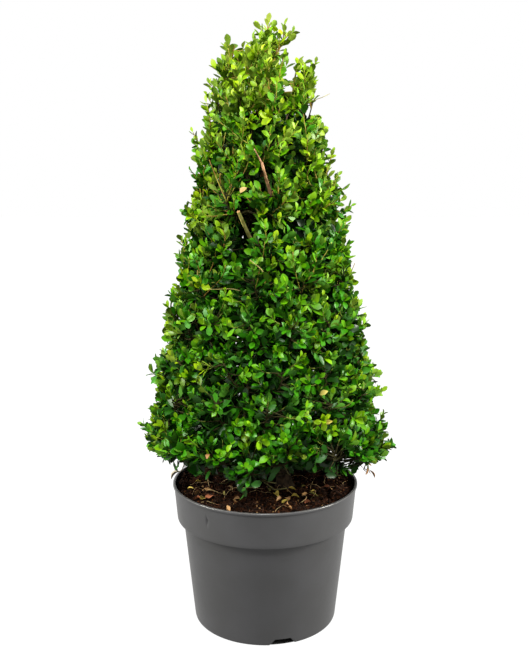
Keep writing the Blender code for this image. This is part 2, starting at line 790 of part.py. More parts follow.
def build_mix(material):
    inset = WALL + GAP
    floor = BASE_UNDERSIDE + WALL + GAP
    share = (MIX_HEIGHT - COLLAR_FOOT_HEIGHT) / (POT_HEIGHT - LIP_HEIGHT - COLLAR_FOOT_HEIGHT)
    rim = COLLAR_FOOT_RADIUS + share * (LIP_RADIUS - LIP_PROUD - COLLAR_FOOT_RADIUS)
    profile = [(0.0, floor), (body_radius(floor) - inset, floor)]
    profile += shoulder_line(inset, 0.5 * WALL + GAP)
    profile.append((rim - inset, MIX_HEIGHT))
    profile += [(radius, MIX_HEIGHT) for radius in MIX_RINGS]
    profile.append((0.0, MIX_HEIGHT))
    mix = add_object("potting_mix", turned("potting_mix", profile, POT_SIDES), material)
    random = np.random.default_rng(SEED)
    for vertex in mix.data.vertices:
        away = math.hypot(vertex.co.x - TRUNK_FOOT[0], vertex.co.y - TRUNK_FOOT[1])
        lump = random.uniform(-MIX_RELIEF, MIX_RELIEF)
        if vertex.co.z > MIX_HEIGHT - GAP and away > MIX_LEVEL_RADIUS:
            vertex.co.z += lump


# Crown
def row_of_twigs(mass, tier, row):
    # The row's hub lies in the core, and its twigs run from there to the outline
    space = mass.space
    random = mass.random
    width = space.last - space.first
    level = space.core_low + (row + 0.5) / tier["rows"] * (space.high - space.core_low)
    columns = max(2, round(width * cone_radius(level) / tier["spacing"]))
    hub = crown_point(space.middle(), level, tier["core"] + HUB_DEPTH * CORE_THICKNESS)
    for column in range(columns):
        azimuth = space.first + (column + 0.5 + TWIG_STAGGER * (-1) ** row) / columns * width
        azimuth += random.uniform(-0.06, 0.06)
        height = level + random.uniform(-0.006, 0.006)
        knee_level = max(height - KNEE_DROP * TWIG_CLIMB, space.core_low + KNEE_FLOOR)
        knee = crown_point(azimuth, knee_level, tier["core"] + KNEE_DEPTH * CORE_THICKNESS)
        tip_azimuth = azimuth + random.uniform(-0.08, 0.08)
        tip = crown_point(tip_azimuth, height + 0.5 * TWIG_CLIMB, TIP_DEPTH)
        if space.low < space.core_low and row == 0:
            hem = hem_height(tip_azimuth) + HEM_ROOM
            tip = polar(tip_azimuth, outline_radius(tip_azimuth, hem) - TIP_DEPTH, hem)
        mass.add_twig(hub, knee, tip)
    return hub


def build_tier(number, tier, bark, green, limbs):
    width = 2 * math.pi / tier["sectors"]
    firsts = [tier["first"] + sector * width for sector in range(tier["sectors"])]
    spaces = [Sector(first, first + width, tier["low"], tier["high"], tier["core_low"]) for first in firsts]
    ends = [crown_point(space.middle(), *tier["bough_end"]) for space in spaces]
    boughs = add_boughs(tier, ends, bark, limbs)
    for sector, (path, radii) in enumerate(boughs):
        name = f"foliage_{tier['name']}_{sector + 1}"
        mass = Mass(name, spaces[sector], tier, limbs, SEED + 100 * number + sector)
        hubs = [row_of_twigs(mass, tier, row) for row in range(tier["rows"])]
        middle = hubs.pop(tier["rows"] // 2)
        way = unit(path[-1] - path[-2])
        mass.build(path[-1] + GAP * way, way, middle, radii[-1], hubs, green)


def build_loose_mass(name, space, base, way, radius, shoots, green, limbs, seed):
    # The shoots fork at the end of a short stem, and the leaves of each begin at its knee
    mass = Mass(name, space, TOP, limbs, seed)
    fork = base + STEM_LENGTH * way
    for azimuth, reach, height in shoots:
        tip = polar(math.radians(azimuth), reach, height)
        knee = fork + SHOOT_KNEE * (tip - fork) + SHOOT_LIFT * UP
        mass.add_twig(fork, knee, tip - SHOOT_TIP * unit(tip - knee))
    mass.build(base, way, fork, radius, [], green)


def build_top(bark, green, limbs):
    width = 2 * math.pi / len(TOP_SHOOTS)
    firsts = [TOP["first"] + sector * width for sector in range(len(TOP_SHOOTS))]
    ends = [polar(first + 0.5 * width, *TOP["bough_end"]) for first in firsts]
    boughs = add_boughs(TOP, ends, bark, limbs)
    for sector, (path, radii) in enumerate(boughs):
        space = Sector(firsts[sector], firsts[sector] + width, TOP["low"], 2.0, inner=LEADER_RADIUS)
        way = unit(path[-1] - path[-2])
        build_loose_mass(f"foliage_top_{sector + 1}", space, path[-1] + GAP * way, way, radii[-1],
                         TOP_SHOOTS[sector], green, limbs, SEED + 900 + sector)
    space = Sector(-math.pi, math.pi, LEADER_LOW, 2.0, outer=LEADER_RADIUS)
    base = trunk_centre(TRUNK_TOP) + GAP * UP
    build_loose_mass("foliage_leader", space, base, UP, TRUNK_TIP_RADIUS, LEADER_SHOOTS, green, limbs,
                     SEED + 990)


def build():
    clear_scene()
    bark = plain_material("bark", BARK)
    green = plain_material("foliage", LEAF_GREEN)
    build_pot(plain_material("pot_plastic", POT_GREY))
    build_mix(plain_material("potting_mix", MIX_BROWN))
    add_object("trunk", trunk_mesh("trunk", 0.0), bark)
    limbs = [trunk_path()]
    for stub in STUBS:
        end = np.array(stub["end"])
        add_limb(stub["name"], stub["start"], end, stub["radius"], STUB_TAPER, bark, limbs)
    for number, tier in enumerate(TIERS):
        build_tier(number, tier, bark, green, limbs)
    build_top(bark, green, limbs)


build()
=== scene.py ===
import math

import bpy
import numpy as np
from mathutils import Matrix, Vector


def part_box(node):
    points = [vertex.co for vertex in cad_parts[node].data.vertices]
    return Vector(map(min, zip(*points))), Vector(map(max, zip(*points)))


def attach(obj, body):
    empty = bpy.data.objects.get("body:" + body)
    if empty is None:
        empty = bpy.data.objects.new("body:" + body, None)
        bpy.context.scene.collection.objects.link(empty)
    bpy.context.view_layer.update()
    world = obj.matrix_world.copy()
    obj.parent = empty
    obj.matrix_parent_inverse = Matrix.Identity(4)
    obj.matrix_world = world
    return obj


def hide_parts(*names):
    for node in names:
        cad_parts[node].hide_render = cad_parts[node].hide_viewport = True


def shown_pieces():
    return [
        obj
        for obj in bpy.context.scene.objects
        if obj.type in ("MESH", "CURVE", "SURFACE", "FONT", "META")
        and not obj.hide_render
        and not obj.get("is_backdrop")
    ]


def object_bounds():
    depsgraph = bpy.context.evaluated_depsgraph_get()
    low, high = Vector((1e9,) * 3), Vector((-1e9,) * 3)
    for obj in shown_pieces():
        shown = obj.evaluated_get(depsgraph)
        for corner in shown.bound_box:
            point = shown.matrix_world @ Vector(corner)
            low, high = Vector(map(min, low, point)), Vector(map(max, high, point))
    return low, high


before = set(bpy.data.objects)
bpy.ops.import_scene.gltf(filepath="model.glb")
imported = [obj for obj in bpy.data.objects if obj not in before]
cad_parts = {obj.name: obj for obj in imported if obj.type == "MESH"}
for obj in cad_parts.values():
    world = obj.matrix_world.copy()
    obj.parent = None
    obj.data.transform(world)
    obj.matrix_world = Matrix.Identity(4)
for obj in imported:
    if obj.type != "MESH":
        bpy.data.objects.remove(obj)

# A clipped pyramid of small-leaved holly in a plastic nursery pot, dressed round its solids.
# Metres, +Z up, -Y is the front, and azimuths run from the front towards +X.
cadLow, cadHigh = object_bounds()
foliageNodes = sorted(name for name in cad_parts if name.startswith("foliage_"))
scene = bpy.context.scene
upward = np.array([0.0, 0.0, 1.0])
goldenAngle = math.radians(137.5)
turn = 2 * math.pi


# Directions, places and curves
def lengthOf(vectors):
    return np.linalg.norm(vectors, axis=-1, keepdims=True)


def unit(vectors):
    # Each vector divided by its own length
    return vectors / np.maximum(lengthOf(vectors), 1e-9)


def dot(first, second):
    # The products of each pair of vectors, kept as a last axis of one
    return (first * second).sum(-1, keepdims=True)


def around(way, angle, helper):
    # cos a S + sin a T, with S and T square to the way and to each other
    sideWay = unit(np.cross(way, helper))
    return np.cos(angle) * sideWay + np.sin(angle) * np.cross(way, sideWay)


def polar(azimuth, radius, height):
    # x = r sin a and y = -r cos a
    azimuth, radius, height = np.broadcast_arrays(azimuth, radius, height)
    return np.stack([radius * np.sin(azimuth), -radius * np.cos(azimuth), height], axis=-1)


def azimuthOf(points):
    return np.arctan2(points[..., 0], -points[..., 1])


def radiusOf(points):
    return np.hypot(points[..., 0], points[..., 1])


def smoothStep(value, low, high):
    # 3t^2 - 2t^3 of the share t of the way from low to high
    share = np.clip((value - low) / (high - low), 0.0, 1.0)
    return share * share * (3 - 2 * share)


def bezier(start, startPull, endPull, end, steps):
    # (1-t)^3 A + 3(1-t)^2 t B + 3(1-t) t^2 C + t^3 D, with steps of shape (curves, points)
    t = np.asarray(steps)[..., None]
    start, startPull, endPull, end = (p[..., None, :] for p in (start, startPull, endPull, end))
    return ((1 - t) ** 3 * start + 3 * (1 - t) ** 2 * t * startPull
            + 3 * (1 - t) * t ** 2 * endPull + t ** 3 * end)


def kept(arrays, keep):
    return [values[keep] for values in arrays]


def together(groups):
    # One array of the groups' first arrays, one of their second arrays, and so on
    return [np.concatenate(arrays) for arrays in zip(*groups)]


def noise(points, scale, seed):
    # Random values from -1 to 1 on a cubic lattice, blended by 3t^2 - 2t^3 along each axis
    place = points * scale
    cell = np.floor(place).astype(np.int64)
    share = smoothStep(place - cell, 0, 1)
    total = np.zeros(points.shape[:-1])
    for corner in range(8):
        step = np.array([corner & 1, corner >> 1 & 1, corner >> 2])
        node = (cell + step) * np.array([73856093, 19349663, 83492791]) + seed * 7919
        mixed = node[..., 0] ^ node[..., 1] ^ node[..., 2]
        mixed = ((mixed ^ mixed >> 13) * 1274126177) & 0x7FFFFFFF
        value = ((mixed ^ mixed >> 15) & 0xFFFF) / 32767.5 - 1
        total += value * np.where(step, share, 1 - share).prod(-1)
    return total


def layeredNoise(points, scale, seed, layers=3):
    # Each layer has twice the scale and half the height of the one before
    total = sum(noise(points, scale * 2 ** n, seed + n) / 2 ** n for n in range(layers))
    return total / (2 - 2 ** (1 - layers))


# Meshes and pieces
def buildMesh(name, points, faceSets, materials, slots=None, sharp=None):
    # Points of shape (n, 3) and face sets of shape (faces, corners), written as whole arrays
    mesh = bpy.data.meshes.new(name)
    mesh.vertices.add(len(points))
    mesh.vertices.foreach_set("co", np.ascontiguousarray(points, dtype=np.float32).ravel())
    corners = np.concatenate([faces.ravel() for faces in faceSets]).astype(np.int32)
    counts = np.concatenate([np.full(len(faces), faces.shape[1]) for faces in faceSets])
    mesh.loops.add(len(corners))
    mesh.loops.foreach_set("vertex_index", corners)
    mesh.polygons.add(len(counts))
    mesh.polygons.foreach_set("loop_start", (np.cumsum(counts) - counts).astype(np.int32))
    for material in materials:
        mesh.materials.append(material)
    if slots is not None:
        mesh.polygons.foreach_set("material_index", np.asarray(slots, dtype=np.int32))
    mesh.update(calc_edges=True)
    mesh.shade_smooth()
    if sharp is not None:
        mesh.set_sharp_from_angle(angle=math.radians(sharp))
    return mesh


def addObject(name, data):
    thing = bpy.data.objects.new(name, data)
    scene.collection.objects.link(thing)
    return thing


def addPiece(name, slotName, replaced, points, faceSets, materials, slots=None, sharp=None):
    piece = addObject(name, buildMesh(name, points, faceSets, materials, slots, sharp))
    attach(piece, "root")
    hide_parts(*replaced)


def tubes(paths, radii, sides):
    # Rings of r (cos a S + sin a T) along each path, S and T square to its tangent.
    # Paths have the shape (tubes, points, 3) and radii (tubes, points) or (tubes, points, sides).
    count, steps = paths.shape[:2]
    tangents = unit(np.gradient(paths, axis=1))
    chord = unit(paths[:, -1] - paths[:, 0])
    helper = np.where(np.abs(chord[:, 2:]) > 0.9, [1.0, 0.0, 0.0], upward)
    firstWay = unit(np.cross(chord, helper))[:, None]
    sideWay = unit(firstWay - tangents * dot(tangents, firstWay))
    otherWay = np.cross(tangents, sideWay)
    angles = turn * np.arange(sides) / sides
    if radii.ndim == 2:
        radii = radii[:, :, None]
    ring = np.cos(angles)[:, None] * sideWay[:, :, None] + np.sin(angles)[:, None] * otherWay[:, :, None]
    points = paths[:, :, None] + radii[..., None] * ring
    grid = np.arange(count * steps * sides).reshape(count, steps, sides)
    after = np.roll(grid, -1, axis=2)
    quads = np.stack([grid[:, :-1], after[:, :-1], after[:, 1:], grid[:, 1:]], axis=-1)
    return points.reshape(-1, 3), [quads.reshape(-1, 4), grid[:, 0, ::-1], grid[:, -1]]


def joined(parts):
    # Several (points, face sets) as one
    starts = np.cumsum([0] + [len(points) for points, faceSets in parts])
    faceSets = [faces + start for (_, sets), start in zip(parts, starts) for faces in sets]
    return np.concatenate([points for points, _ in parts]), faceSets


# Shader nodes
def setInputs(tree, node, values):
    # A value goes into the input of its name or number, and a socket is linked to it
    for key, value in values.items():
        if isinstance(value, bpy.types.NodeSocket):
            tree.links.new(value, node.inputs[key])
        else:
            node.inputs[key].default_value = value


def addNode(tree, kind, values, **settings):
    node = tree.nodes.new("ShaderNode" + kind)
    for key, value in settings.items():
        setattr(node, key, value)
    setInputs(tree, node, values)
    return node.outputs


def maths(tree, operation, *values):
    return addNode(tree, "Math", dict(enumerate(values)), operation=operation)[0]


def mapped(tree, value, low, high, newLow=0.0, newHigh=1.0, kind="LINEAR"):
    values = dict(enumerate((value, low, high, newLow, newHigh)))
    return addNode(tree, "MapRange", values, interpolation_type=kind)[0]


def blend(tree, share, first, second, kind):
    # The node has its numbers at the inputs 2 and 3, and its colours at 6 and 7
    place, result = {"FLOAT": (2, 0), "RGBA": (6, 2)}[kind]
    return addNode(tree, "Mix", {0: share, place: first, place + 1: second}, data_type=kind)[result]


def speckle(tree, place, scale, detail):
    return addNode(tree, "TexNoise", {"Vector": place, "Scale": scale, "Detail": detail})["Fac"]


# Node groups that several materials share
def makeGroup(name, resultKind, inputs, recipe):
    # None stands for a vector, and a tuple for a colour
    group = bpy.data.node_groups.new(name, "ShaderNodeTree")
    for label, value in inputs.items():
        kind = {float: "Float", tuple: "Color"}.get(type(value), "Vector")
        socket = group.interface.new_socket(name=label, in_out="INPUT", socket_type="NodeSocket" + kind)
        if value is not None:
            socket.default_value = value
    group.interface.new_socket(name="Result", in_out="OUTPUT", socket_type="NodeSocket" + resultKind)
    given = group.nodes.new("NodeGroupInput").outputs
    group.links.new(recipe(group, given), group.nodes.new("NodeGroupOutput").inputs[0])
    return group


def mottle(tree, given):
    # Two colours mixed by soft patches of noise, whose edges are 0.25 to 0.03 to either side of 0.5
    half = maths(tree, "MULTIPLY_ADD", given["Sharpness"], -0.22, 0.25)
    patches = speckle(tree, given["Vector"], given["Scale"], 4.0)
    mask = mapped(tree, patches, maths(tree, "SUBTRACT", 0.5, half), maths(tree, "ADD", 0.5, half),
                  kind="SMOOTHSTEP")
    return blend(tree, mask, given["First Colour"], given["Second Colour"], "RGBA")


def grain(tree, given):
    # A fine grain on a swell that is eight times as coarse, as a height from 0 to 1
    coarseScale = maths(tree, "MULTIPLY", given["Scale"], 0.12)
    fine = speckle(tree, given["Vector"], given["Scale"], 3.0)
    return blend(tree, given["Swell"], fine, speckle(tree, given["Vector"], coarseScale, 2.0), "FLOAT")


def dust(tree, given):
    # Dust that lies where a surface faces up, broken up by noise
    normal = addNode(tree, "NewGeometry", {})["Normal"]
    facing = addNode(tree, "SeparateXYZ", {"Vector": normal})["Z"]
    lying = mapped(tree, facing, 0.1, 0.95, kind="SMOOTHSTEP")
    broken = mapped(tree, speckle(tree, given["Vector"], 60.0, 4.0), 0.35, 0.7)
    return maths(tree, "MULTIPLY", maths(tree, "MULTIPLY", lying, broken), given["Amount"])


groups = {
    "mottle": makeGroup("softMottle", "Color", {
        "Vector": None, "Scale": 40.0, "Sharpness": 0.5, "First Colour": (0.1, 0.1, 0.1, 1.0),
        "Second Colour": (0.2, 0.2, 0.2, 1.0)}, mottle),
    "grain": makeGroup("fineGrain", "Float", {"Vector": None, "Scale": 400.0, "Swell": 0.3}, grain),
    "dust": makeGroup("settledDust", "Float", {"Vector": None, "Amount": 0.4}, dust),
}


def shaderMaterial(name, roughness, specular, colour=(0.5, 0.5, 0.5, 1.0)):
    material = bpy.data.materials.new(name)
    material.use_nodes = True
    tree = material.node_tree
    shader = tree.nodes["Principled BSDF"]
    setInputs(tree, shader, {"Base Color": colour, "Roughness": roughness, "Specular IOR Level": specular})
    return material, tree, shader


def linear(colour):
    # Linear colour from the 0-255 values of a screen colour
    return (*(((c / 255 + 0.055) / 1.055) ** 2.4 if c > 10 else c / 3294.6 for c in colour), 1.0)


# What a mottled material has where its look doesn't say
plainLook = {"sharpness": 0.5, "dust": 0.0, "dustColour": (150, 142, 128), "specular": 0.5, "swell": 0.3,
             "coat": (0.0, 0.03), "stretch": (1.0, 1.0, 1.0)}


def mottledMaterial(name, look):
    # Two mixed colours with dust on what faces up, over a grain that also varies the gloss
    look = {**plainLook, **look}
    material, tree, shader = shaderMaterial(name, look["roughness"][0], look["specular"])
    place = addNode(tree, "TexCoord", {})["Object"]
    place = addNode(tree, "Mapping", {"Vector": place, "Scale": look["stretch"]})[0]
    colours = addNode(tree, "Group", {
        "Vector": place, "Scale": look["patches"], "Sharpness": look["sharpness"],
        "First Colour": linear(look["first"]), "Second Colour": linear(look["second"]),
    }, node_tree=groups["mottle"])[0]
    dusty = addNode(tree, "Group", {"Vector": place, "Amount": look["dust"]}, node_tree=groups["dust"])[0]
    height = addNode(tree, "Group", {"Vector": place, "Scale": look["grain"], "Swell": look["swell"]},
                     node_tree=groups["grain"])[0]
    bump = addNode(tree, "Bump", {"Strength": look["bump"], "Distance": look["depth"], "Height": height})
    setInputs(tree, shader, {
        "Base Color": blend(tree, dusty, colours, linear(look["dustColour"]), "RGBA"),
        "Roughness": mapped(tree, height, 0.3, 0.7, *look["roughness"]), "Normal": bump[0],
        "Coat Weight": look["coat"][0], "Coat Roughness": look["coat"][1],
    })
    return material


# Camera, lights and floor, at the photograph's angle
studio = {
    "camera": (-0.001, -1.2422, 0.660), "pitch": 9.625, "lens": 46.8, "sensor": 36.0,
    "lights": (
        ("left", (-2.1, -0.55, 1.40), 1.0, 86.0, (1.0, 0.98, 0.90)),
        ("right", (2.1, -0.45, 1.35), 1.0, 104.0, (1.0, 0.98, 0.90)),
        ("top", (-0.10, -1.4, 2.3), 0.9, 58.0, (1.0, 1.0, 1.0)),
    ),
    "aim": (0.0, 0.0, 0.42), "backdrop": 1.0, "ambient": 0.48, "reflected": 0.9,
    "floor": (62, 62, 62), "floorGlow": (0.98, 1.0), "floorFade": (0.25, 1.40), "floorMirrored": 0.34,
    "floorRoughness": 0.8, "floorSpecular": 0.2, "darkRadius": 0.1045, "floorSize": 30.0,
}


def pointAt(thing, target):
    way = np.array(target) - np.array(thing.location)
    across = math.hypot(way[0], way[1])
    thing.rotation_euler = (math.atan2(across, -way[2]), 0.0, math.atan2(-way[0], way[1]))


def buildCamera():
    camera = addObject("camera", bpy.data.cameras.new("camera"))
    camera.data.lens = studio["lens"]
    camera.data.sensor_width = studio["sensor"]
    camera.location = studio["camera"]
    camera.rotation_euler = (math.radians(90 - studio["pitch"]), 0.0, 0.0)
    scene.camera = camera


def buildLights():
    for name, place, size, power, colour in studio["lights"]:
        lamp = bpy.data.lights.new(name, "AREA")
        lamp.shape = "DISK"
        lamp.size = size
        lamp.energy = power
        lamp.color = colour
        light = addObject(name, lamp)
        light.location = place
        pointAt(light, studio["aim"])


def buildBackdrop():
    # The camera sees a white backdrop, as do reflections, that lights the plant with a part of its
    # brightness
    world = bpy.data.worlds.new("studio")
    world.use_nodes = True
    tree = world.node_tree
    rays = addNode(tree, "LightPath", {})
    mirrored = mapped(tree, rays["Is Glossy Ray"], 0.0, 1.0, studio["ambient"], studio["reflected"])
    strength = blend(tree, rays["Is Camera Ray"], mirrored, studio["backdrop"], "FLOAT")
    setInputs(tree, tree.nodes["Background"], {"Color": (1, 1, 1, 1), "Strength": strength})
    scene.world = world
    scene.view_settings.view_transform = "Standard"


def buildFloor():
    # The floor glows for the camera, and less in reflections, not under the pot, and more with the
    # distance until it meets the backdrop
    material, tree, shader = shaderMaterial("floor", studio["floorRoughness"], studio["floorSpecular"],
                                            linear(studio["floor"]))
    rays = addNode(tree, "LightPath", {})
    seen = maths(tree, "MULTIPLY_ADD", rays["Is Glossy Ray"], studio["floorMirrored"], rays["Is Camera Ray"])
    place = addNode(tree, "NewGeometry", {})["Position"]
    away = addNode(tree, "VectorMath", {0: place}, operation="LENGTH")["Value"]
    fade = mapped(tree, away, *studio["floorFade"], *studio["floorGlow"], "SMOOTHSTEP")
    lit = maths(tree, "MULTIPLY", fade, maths(tree, "GREATER_THAN", away, studio["darkRadius"]))
    setInputs(tree, shader, {"Emission Color": (1, 1, 1, 1),
                             "Emission Strength": maths(tree, "MULTIPLY", seen, lit)})
    corners = studio["floorSize"] / 2 * np.array([(-1, -1, 0), (1, -1, 0), (1, 1, 0), (-1, 1, 0)])
    floor = addObject("floor", buildMesh("floor", corners, [np.array([[0, 1, 2, 3]])], [material]))
    floor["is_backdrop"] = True


buildCamera()
buildLights()
buildBackdrop()
buildFloor()
print("studio ready")

# The crown's outline, by the rule of the solids
outline = {
    "radius": 0.187, "foot": 0.300, "slope": 0.2224, "top": 0.891,
    "domeFoot": 0.790, "domePowers": (2.2, 0.62),
    "hem": 0.248, "hemTilt": 0.010, "hemFront": 0.016,
    "hemRounding": 0.044, "hemCut": 0.22, "hemPower": 2.5,
    "sprayAzimuth": -11.0, "sprayHalfWidth": 6.5, "sprayDrop": 0.030,
    "archAzimuth": 28.0, "archHalfWidth": 32.0, "archRise": 0.020, "frontRise": 0.012,
    "wave": 0.0035, "waveTurns": (3, 5), "waveClimbs": (21.0, -34.0), "rise": 0.70,
}


def coneRadius(height):
    return outline["radius"] - outline["slope"] * (height - outline["foot"])


def bellAround(azimuth, middle, halfWidth):
    # exp(-(a / w)^2) of the angle from a middle, both in degrees
    away = (azimuth - math.radians(middle) + math.pi) % turn - math.pi
    return np.exp(-(away / math.radians(halfWidth)) ** 2)


def hemHeight(azimuth):
    # The hem is tilted and drawn up in front, hangs down in a spray left of the middle, and arches
    # up right of it
    drop = outline["sprayDrop"] * bellAround(azimuth, outline["sprayAzimuth"], outline["sprayHalfWidth"])
    rise = outline["archRise"] * bellAround(azimuth, outline["archAzimuth"], outline["archHalfWidth"])
    tilt = outline["hemFront"] * np.cos(azimuth) - outline["hemTilt"] * np.sin(azimuth)
    return outline["hem"] + tilt + outline["frontRise"] * np.clip(np.cos(azimuth), 0.0, 1.0) - drop + rise


def outlineRadius(azimuth, height):
    # A cone with two waves, a dome (1 - s^2.2)^0.62 over it, and a hem that is rounded in below
    wave = outline["wave"]
    for turns, climb in zip(outline["waveTurns"], outline["waveClimbs"]):
        wave = wave * np.sin(turns * azimuth + climb * height)
    part = np.clip((height - outline["domeFoot"]) / (outline["top"] - outline["domeFoot"]), 0.0, 1.0)
    first, second = outline["domePowers"]
    radius = (coneRadius(np.minimum(height, outline["domeFoot"])) + wave) * (1 - part ** first) ** second
    rounding = outline["hemRounding"]
    below = np.clip((hemHeight(azimuth) + rounding - height) / rounding, 0.0, 1.0)
    return radius * (1 - outline["hemCut"] * below ** outline["hemPower"])


def borderLevel(radius, height):
    # Where the sloping border through a point meets the straight cone
    rise = outline["rise"]
    spread = outline["radius"] + outline["slope"] * outline["foot"] - radius
    return (height + rise * spread) / (1 + rise * outline["slope"])


def crownPoint(azimuth, level, depth):
    # A depth in from the cone, back along the way of growth
    return polar(azimuth, coneRadius(level) - depth, level - outline["rise"] * depth)


# Trunk, boughs and pruned stubs, in a skin of bark
bark = {
    "first": (92, 76, 58), "second": (52, 43, 34), "patches": 150.0, "sharpness": 0.6,
    "dust": 0.20, "dustColour": (96, 100, 70), "roughness": (0.78, 0.95), "specular": 0.15, "grain": 900.0,
    "swell": 0.4, "bump": 0.9, "depth": 0.0006, "stretch": (1.0, 1.0, 0.45),
}
cutWood = {
    "first": (222, 178, 118), "second": (186, 134, 82), "patches": 700.0, "sharpness": 0.4,
    "roughness": (0.6, 0.75), "grain": 2200.0, "bump": 0.5, "depth": 0.0003,
}
relief = {
    "ridges": 0.085, "ridgeTurns": 5.0, "ridgeClimb": 60.0, "ridgeScale": 0.7, "ridgeMiddle": 0.4,
    "lumps": 0.06, "lumpTurns": 0.2, "lumpScale": 130.0, "lumpSeed": 9,
    "knotEvery": 0.031, "knot": 0.13, "knotWidth": 0.0035, "knotPower": 3,
}
limbs = {
    "trunkFoot": (0.030, 0.000), "trunkTip": (0.004, -0.002), "low": 0.2010, "top": 0.800,
    "radius": 0.0096, "tipRadius": 0.0027, "taper": 0.85, "lean": 1.7, "sway": 0.005,
    "swayTurn": 4.0, "flare": 0.0048, "flareHeight": 0.011, "lobes": 4, "lobeDepth": 0.16,
    "trunkRings": 220, "trunkSides": 36, "trunkSeed": 3, "sunk": 0.004,
    "pulls": (0.38, 0.34), "lift": 0.10, "boughTaper": 0.62, "rings": 60, "sides": 12, "boughSeed": 20,
    "stubTaper": 0.80, "stubSeed": 40, "stubDust": 0.1, "cutSharp": 50,
}
tiers = (
    {"name": "low", "sectors": 6, "first": -40.0, "low": 0.220, "coreLow": 0.288, "high": 0.436,
     "core": 0.025, "start": 0.216, "step": 0.0085, "order": (0, 3, 1, 4, 2, 5), "radius": 0.0052,
     "end": (0.312, 0.066)},
    {"name": "mid", "sectors": 5, "first": -22.0, "low": 0.436, "coreLow": 0.436, "high": 0.612,
     "core": 0.024, "start": 0.368, "step": 0.0095, "order": (0, 2, 4, 1, 3), "radius": 0.0040,
     "end": (0.479, 0.060)},
    {"name": "high", "sectors": 4, "first": -62.0, "low": 0.612, "coreLow": 0.612, "high": 0.794,
     "core": 0.022, "start": 0.540, "step": 0.0090, "order": (0, 2, 1, 3), "radius": 0.0032,
     "end": (0.644, 0.052)},
)
topTier = {"name": "top", "sectors": 4, "first": -35.0, "start": 0.664, "step": 0.0090,
           "order": (0, 2, 1, 3), "radius": 0.0026, "end": (0.034, 0.760)}
# Pruned stubs. Their pale bark colours are painted light: much lighter than the bark, so that stubs in the
# crown's shade look lit
stubs = (
    {"name": "low", "start": 0.505, "end": (-0.036, -0.090, 0.622), "radius": 0.0040, "slim": 0.70,
     "colours": ((234, 222, 136), (196, 180, 98))},
    {"name": "high", "start": 0.628, "end": (-0.007, -0.073, 0.690), "radius": 0.0037, "slim": 1.10,
     "colours": ((232, 172, 130), (182, 124, 90))},
)


def trunkPart(height):
    return np.clip((height - limbs["low"]) / (limbs["top"] - limbs["low"]), 0.0, 1.0)


def trunkCentre(height):
    # It leans by (1 - s)^1.7 towards its tip, and sways by sin(pi s)
    height = np.asarray(height, dtype=float)
    part = trunkPart(height)
    sway = limbs["sway"] * np.sin(math.pi * part)
    foot, tip = limbs["trunkFoot"], limbs["trunkTip"]
    x = tip[0] + (foot[0] - tip[0]) * (1 - part) ** limbs["lean"] - sway
    y = tip[1] + (foot[1] - tip[1]) * (1 - part) + sway * np.cos(limbs["swayTurn"] * part)
    return np.stack([x, y, height], axis=-1)


def barkRelief(length, sides, seed):
    # Shares of the radius: ridges that wind slowly round the limb, lumps, and a knot every few cm
    angles = turn * np.arange(sides) / sides
    rounds = np.stack(np.broadcast_arrays(
        relief["ridgeTurns"] * np.cos(angles), relief["ridgeTurns"] * np.sin(angles),
        relief["ridgeClimb"] * length[:, None]), axis=-1)
    ridges = 1 - 2 * np.abs(layeredNoise(rounds, relief["ridgeScale"], seed)) - relief["ridgeMiddle"]
    scales = (relief["lumpTurns"], relief["lumpTurns"], relief["lumpScale"] / relief["ridgeClimb"])
    lumps = noise(rounds * scales, 1.0, seed + relief["lumpSeed"])
    place = length / relief["knotEvery"]
    number = np.round(place)
    near = np.exp(-((place - number) * relief["knotEvery"] / relief["knotWidth"]) ** 2)
    facing = np.clip(np.cos(angles - (number * goldenAngle + seed)[:, None]), 0.0, 1.0)
    knots = near[:, None] * facing ** relief["knotPower"]
    return 1 + relief["ridges"] * ridges + relief["lumps"] * lumps + relief["knot"] * knots


def barkTube(path, radii, seed):
    along = np.concatenate([[0.0], np.cumsum(lengthOf(np.diff(path, axis=0)))])
    radii = radii[:, None] * barkRelief(along, limbs["sides"], seed)
    return tubes(path[None], radii[None], limbs["sides"])


def limbCurve(startHeight, end, count):
    # Leaves the trunk steeply and swings out to its end
    start = trunkCentre(startHeight)
    run = end - start
    lift = limbs["lift"] * np.linalg.norm(run) * upward
    pulls = limbs["pulls"]
    steps = np.linspace(0.0, 1.0, count)
    return bezier(start, start + pulls[0] * run + lift, end - pulls[1] * run, end, steps)


def boughEnds(tier):
    # In the middle of each sector
    width = 360.0 / tier["sectors"]
    middles = np.radians(tier["first"] + width * (np.arange(tier["sectors"]) + 0.5))
    return (polar if tier is topTier else crownPoint)(middles, *tier["end"])


def boughCurve(tier, number, end, count):
    return limbCurve(tier["start"] + tier["step"] * tier["order"][number], end, count)


def boughWay(tier, number, end):
    # The direction in which a bough ends
    return unit(np.diff(boughCurve(tier, number, end, 5), axis=0)[-1])


def buildTrunk(barkMaterial):
    # A foot with lobes that flares out by exp(-h)
    heights = np.linspace(limbs["low"] - limbs["sunk"], limbs["top"], limbs["trunkRings"])
    sides = limbs["trunkSides"]
    angles = turn * np.arange(sides) / sides
    above = (heights - limbs["low"]) / limbs["flareHeight"]
    taper = (limbs["radius"] - limbs["tipRadius"]) * (1 - trunkPart(heights)) ** limbs["taper"]
    radii = limbs["tipRadius"] + taper + limbs["flare"] * np.exp(-above)
    lobes = limbs["lobeDepth"] * np.exp(-np.clip(above, 0, None))
    radii = radii[:, None] * barkRelief(heights, sides, limbs["trunkSeed"])
    radii = radii * (1 + lobes[:, None] * np.cos(limbs["lobes"] * angles))
    tube = tubes(trunkCentre(heights)[None], radii[None], sides)
    addPiece("trunk_bark", "bark", ["trunk"], *tube, [barkMaterial])


